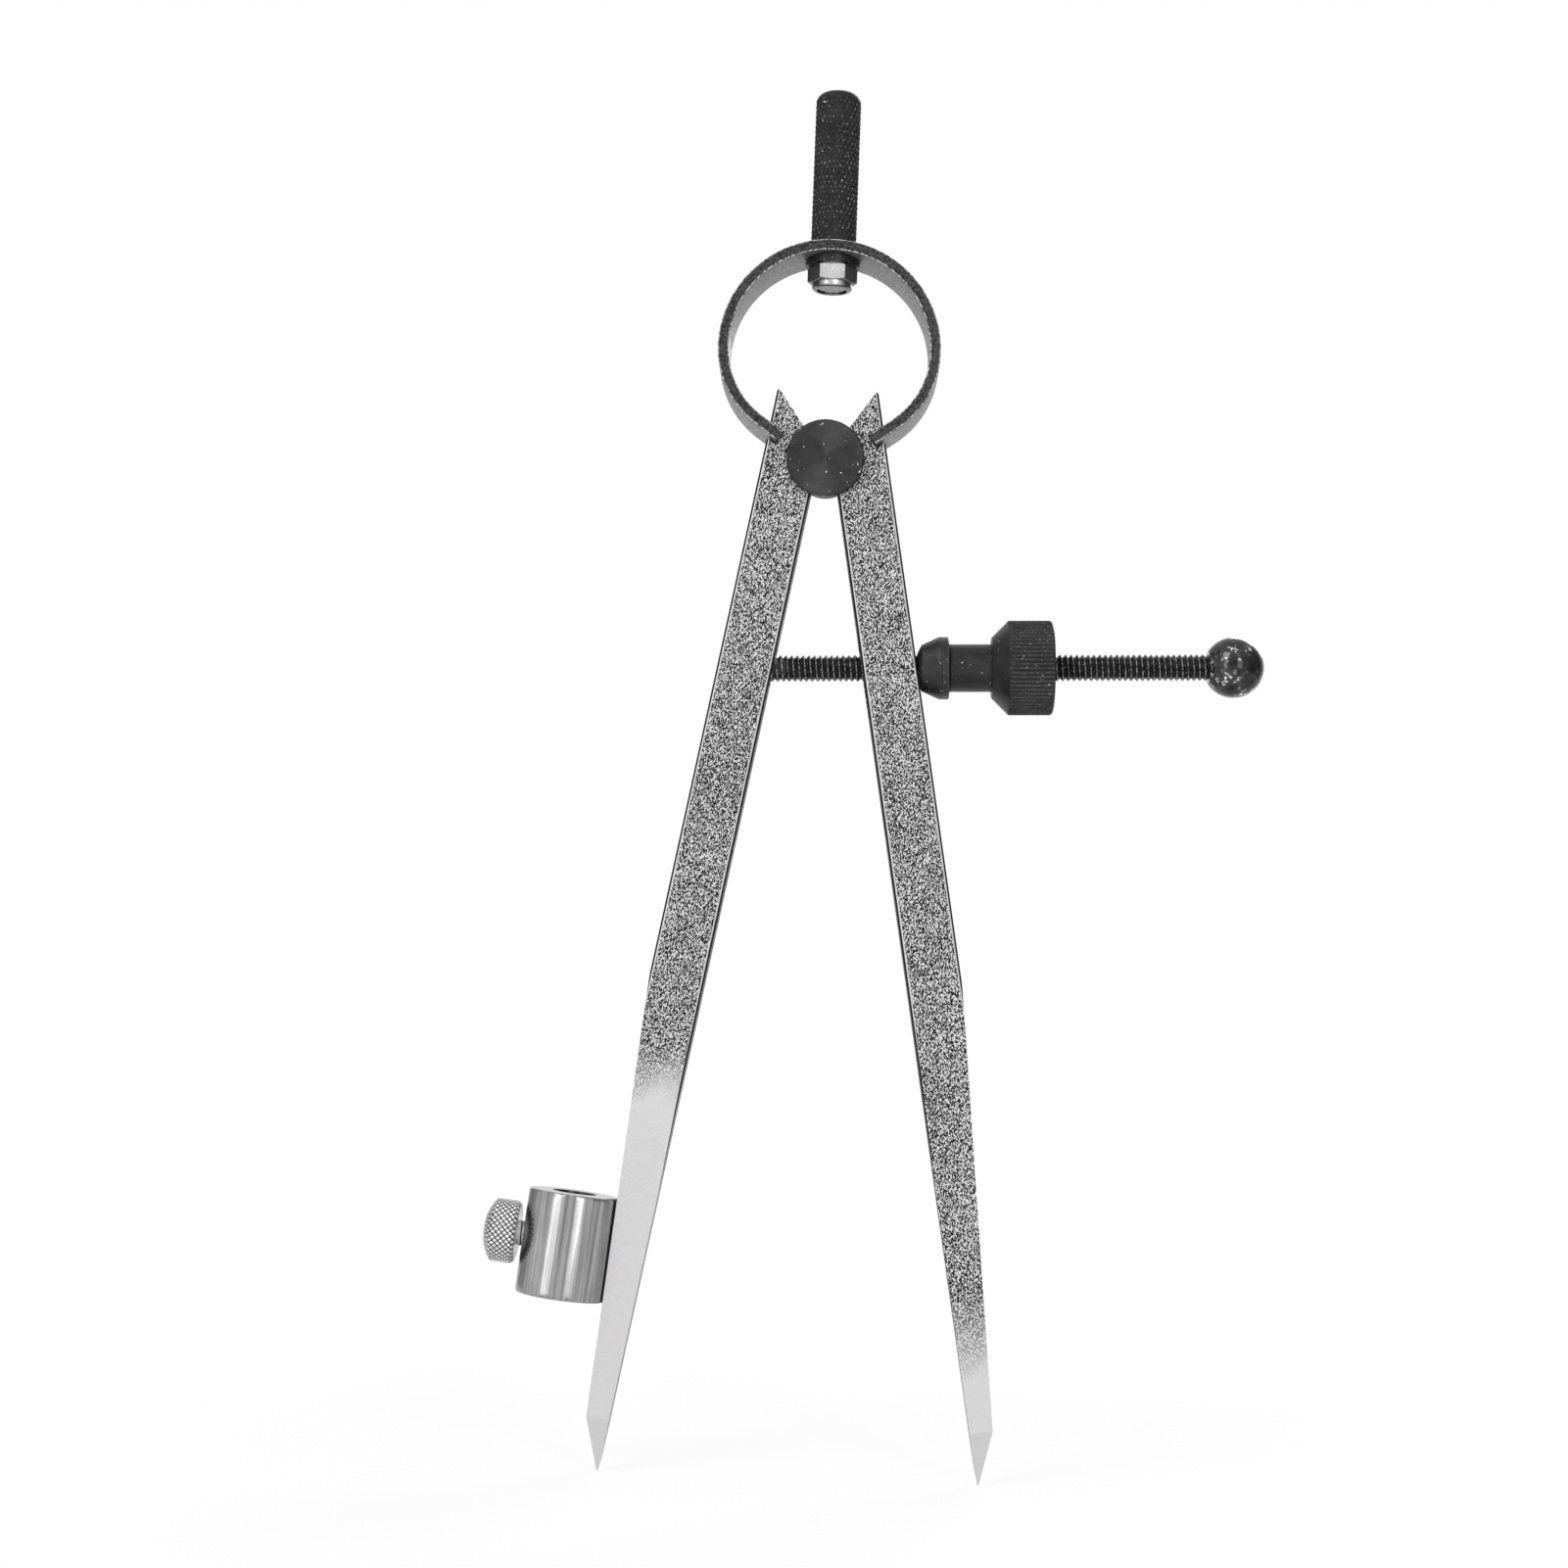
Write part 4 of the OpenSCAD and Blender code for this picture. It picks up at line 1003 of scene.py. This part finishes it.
class DIVIDER_OT_stage(bpy.types.Operator):
    """Set up the floor, lights, world and camera"""

    bl_idname = "divider.stage"
    bl_label = "Stage"

    def see_white(self, tree):
        """One for camera, mirrored and transmitted rays, and zero for the light that falls on surfaces."""
        path = tree.nodes.new("ShaderNodeLightPath").outputs
        mirrored = sums(tree, "MAXIMUM", path["Is Glossy Ray"], path["Is Transmission Ray"])
        return sums(tree, "MAXIMUM", path["Is Camera Ray"], mirrored)

    def sky(self, scene):
        """A white world that lights surfaces at half its strength."""
        scene.world = scene.world or bpy.data.worlds.new("studio")
        scene.world.use_nodes = True
        tree = scene.world.node_tree
        tree.nodes.clear()
        level = spread(tree, self.see_white(tree), 0.0, 1.0, first=0.5, last=1.0)
        white = put(tree, "ShaderNodeBackground", Color=WHITE, Strength=level)
        put(tree, "ShaderNodeOutputWorld", Surface=white.outputs[0])

    def floor(self):
        """A flat grid just under the points, plain white far off, with the divider's shadow near it."""
        reach, cells, drop, pale, near, far = 3.0, 8, 0.2 * MM, 0.97, 0.1, 0.5
        side = np.linspace(-reach, reach, cells + 1)
        x, y = np.meshgrid(side, side, indexing="ij")
        points = np.stack([x, y, np.full_like(x, -drop)], -1)
        first = (np.arange(cells)[:, None] * (cells + 1) + np.arange(cells)).reshape(-1, 1)
        mesh = bpy.data.meshes.new("pale_floor")
        mesh.from_pydata(points.reshape(-1, 3).tolist(), [],
                         (first + np.array([0, cells + 1, cells + 2, 1])).tolist())
        ground = bpy.data.objects.new("pale_floor", mesh)
        bpy.context.collection.objects.link(ground)
        finish, tree, shader = start_finish("floor white")
        shader.inputs["Base Color"].default_value = (pale, pale, pale, 1)
        shader.inputs["Roughness"].default_value = 0.9
        shader.inputs["Specular IOR Level"].default_value = 0.1
        glow = put(tree, "ShaderNodeEmission", Strength=1.06)
        away = put(tree, "ShaderNodeVectorMath", {"operation": "LENGTH"},
                   a=tree.nodes.new("ShaderNodeTexCoord").outputs["Object"]).outputs["Value"]
        white = spread(tree, away, near, far, first=0.7, last=1.0)
        share = sums(tree, "MULTIPLY", self.see_white(tree), white)
        mixed = put(tree, "ShaderNodeMixShader", a=share, b=shader.outputs[0], c=glow.outputs[0])
        tree.links.new(mixed.outputs[0], tree.nodes["Material Output"].inputs["Surface"])
        mesh.materials.append(finish)

    def lamp(self, name, at, size, power):
        """A rectangular soft lamp that looks at the divider's middle."""
        middle = Vector((0, 0, 0.13))
        data = bpy.data.lights.new(name, "AREA")
        data.shape = "RECTANGLE"
        data.size, data.size_y = size
        data.energy = power
        lamp = bpy.data.objects.new(name, data)
        lamp.location = at
        lamp.rotation_euler = (middle - lamp.location).to_track_quat("-Z", "Y").to_euler()
        lamp.visible_camera = False
        bpy.context.collection.objects.link(lamp)

    def card(self, name, foot, tall, shade, glow=0.0):
        """An upright board over a line on the floor that only mirrored rays meet, to shade or light metal."""
        foot = np.array(foot)
        points = np.concatenate([foot, foot + (0, 0, tall)])
        mesh = bpy.data.meshes.new(name)
        mesh.from_pydata(points.tolist(), [], [[0, 1, 3, 2]])
        card = bpy.data.objects.new(name, mesh)
        bpy.context.collection.objects.link(card)
        finish, _, shader = start_finish(name)
        shader.inputs["Base Color"].default_value = (shade, shade, shade, 1)
        shader.inputs["Emission Color"].default_value = WHITE
        shader.inputs["Emission Strength"].default_value = glow
        mesh.materials.append(finish)
        card.visible_camera = card.visible_diffuse = card.visible_shadow = False
        card.visible_transmission = card.visible_volume_scatter = False

    def band_card(self, name, bearing, width, glow):
        """A small white card near the tube, at a bearing from the front in degrees, for a band down it."""
        away, tall = 0.28, 0.08
        out, across = (np.array([math.sin(turn), -math.cos(turn), 0])
                       for turn in (math.radians(bearing), math.radians(bearing + 90)))
        middle = TUBE_MIDDLE * (1, 1, 0) + away * out
        foot = [middle - width / 2 * across, middle + width / 2 * across]
        self.card(name, foot, tall, shade=0.0, glow=glow)

    def camera(self, scene):
        """The photograph's view, fitted to points of the object, with a shift that suits other views."""
        pitch, roll, yaw = 93.625, -2.134, 0.268
        eye = bpy.data.cameras.new("photo_camera")
        eye.sensor_width, eye.lens = 36.0, 62.671
        eye.shift_x, eye.shift_y = -0.02, 0.05
        eye.clip_start, eye.clip_end = 0.01, 20.0
        camera = bpy.data.objects.new("photo_camera", eye)
        camera.location = (0.00442, -0.5, 0.08)
        camera.rotation_euler = [math.radians(angle) for angle in (pitch, roll, yaw)]
        bpy.context.collection.objects.link(camera)
        scene.camera = camera

    def execute(self, context):
        context.scene.view_settings.view_transform = "Standard"
        self.sky(context.scene)
        self.floor()
        self.card("grey_card_left", foot=[(-0.55, 0.12, 0), (-0.55, 0.8, 0)], tall=0.7, shade=0.5)
        self.card("grey_card_right", foot=[(0.55, -0.45, 0), (0.55, 0.35, 0)], tall=0.7, shade=0.5)
        self.band_card("white_card_left", bearing=-40, width=0.06, glow=2.9)
        self.band_card("white_card_right", bearing=24, width=0.05, glow=5.5)
        self.lamp("lamp_over_left", at=(-0.55, -0.75, 0.95), size=(0.5, 0.5), power=3.5)
        self.lamp("lamp_strip_left", at=(-0.58, -0.90, 0.16), size=(0.24, 0.7), power=1.7)
        self.lamp("lamp_strip_right", at=(0.34, -0.90, 0.16), size=(0.28, 0.7), power=1.5)
        self.lamp("lamp_small", at=(0.30, -0.80, 0.50), size=(0.14, 0.14), power=1.0)
        self.lamp("lamp_behind", at=(0.45, 0.95, 0.75), size=(0.6, 0.6), power=4.5)
        self.camera(context.scene)
        return {"FINISHED"}


STEPS = (DIVIDER_OT_stage, DIVIDER_OT_finishes, DIVIDER_OT_bow, DIVIDER_OT_handle, DIVIDER_OT_lock_nut,
         DIVIDER_OT_fulcrum, DIVIDER_OT_screw, DIVIDER_OT_adjuster, DIVIDER_OT_pencil_clamp)


class DIVIDER_PT_panel(bpy.types.Panel):
    """The divider's sizes, colours and steps"""

    bl_idname = "DIVIDER_PT_panel"
    bl_label = "Compass divider"
    bl_space_type = "VIEW_3D"
    bl_region_type = "UI"
    bl_category = "Divider"

    def draw(self, context):
        for group in (context.scene.divider_sizes, context.scene.divider_colours):
            box = self.layout.box()
            for key in group.bl_rna.properties.keys():
                if key not in ("rna_type", "name"):
                    box.prop(group, key)
        for step in STEPS:
            self.layout.operator(step.bl_idname)


CLASSES = (DividerSizes, DividerColours, *STEPS, DIVIDER_PT_panel)


def register():
    for each in CLASSES:
        bpy.utils.register_class(each)
    bpy.types.Scene.divider_sizes = PointerProperty(type=DividerSizes)
    bpy.types.Scene.divider_colours = PointerProperty(type=DividerColours)


def unregister():
    del bpy.types.Scene.divider_colours
    del bpy.types.Scene.divider_sizes
    for each in reversed(CLASSES):
        bpy.utils.unregister_class(each)


def main():
    register()
    for step in STEPS:
        family, name = step.bl_idname.split(".")
        getattr(getattr(bpy.ops, family), name)()


if __name__ == "__main__":
    main()
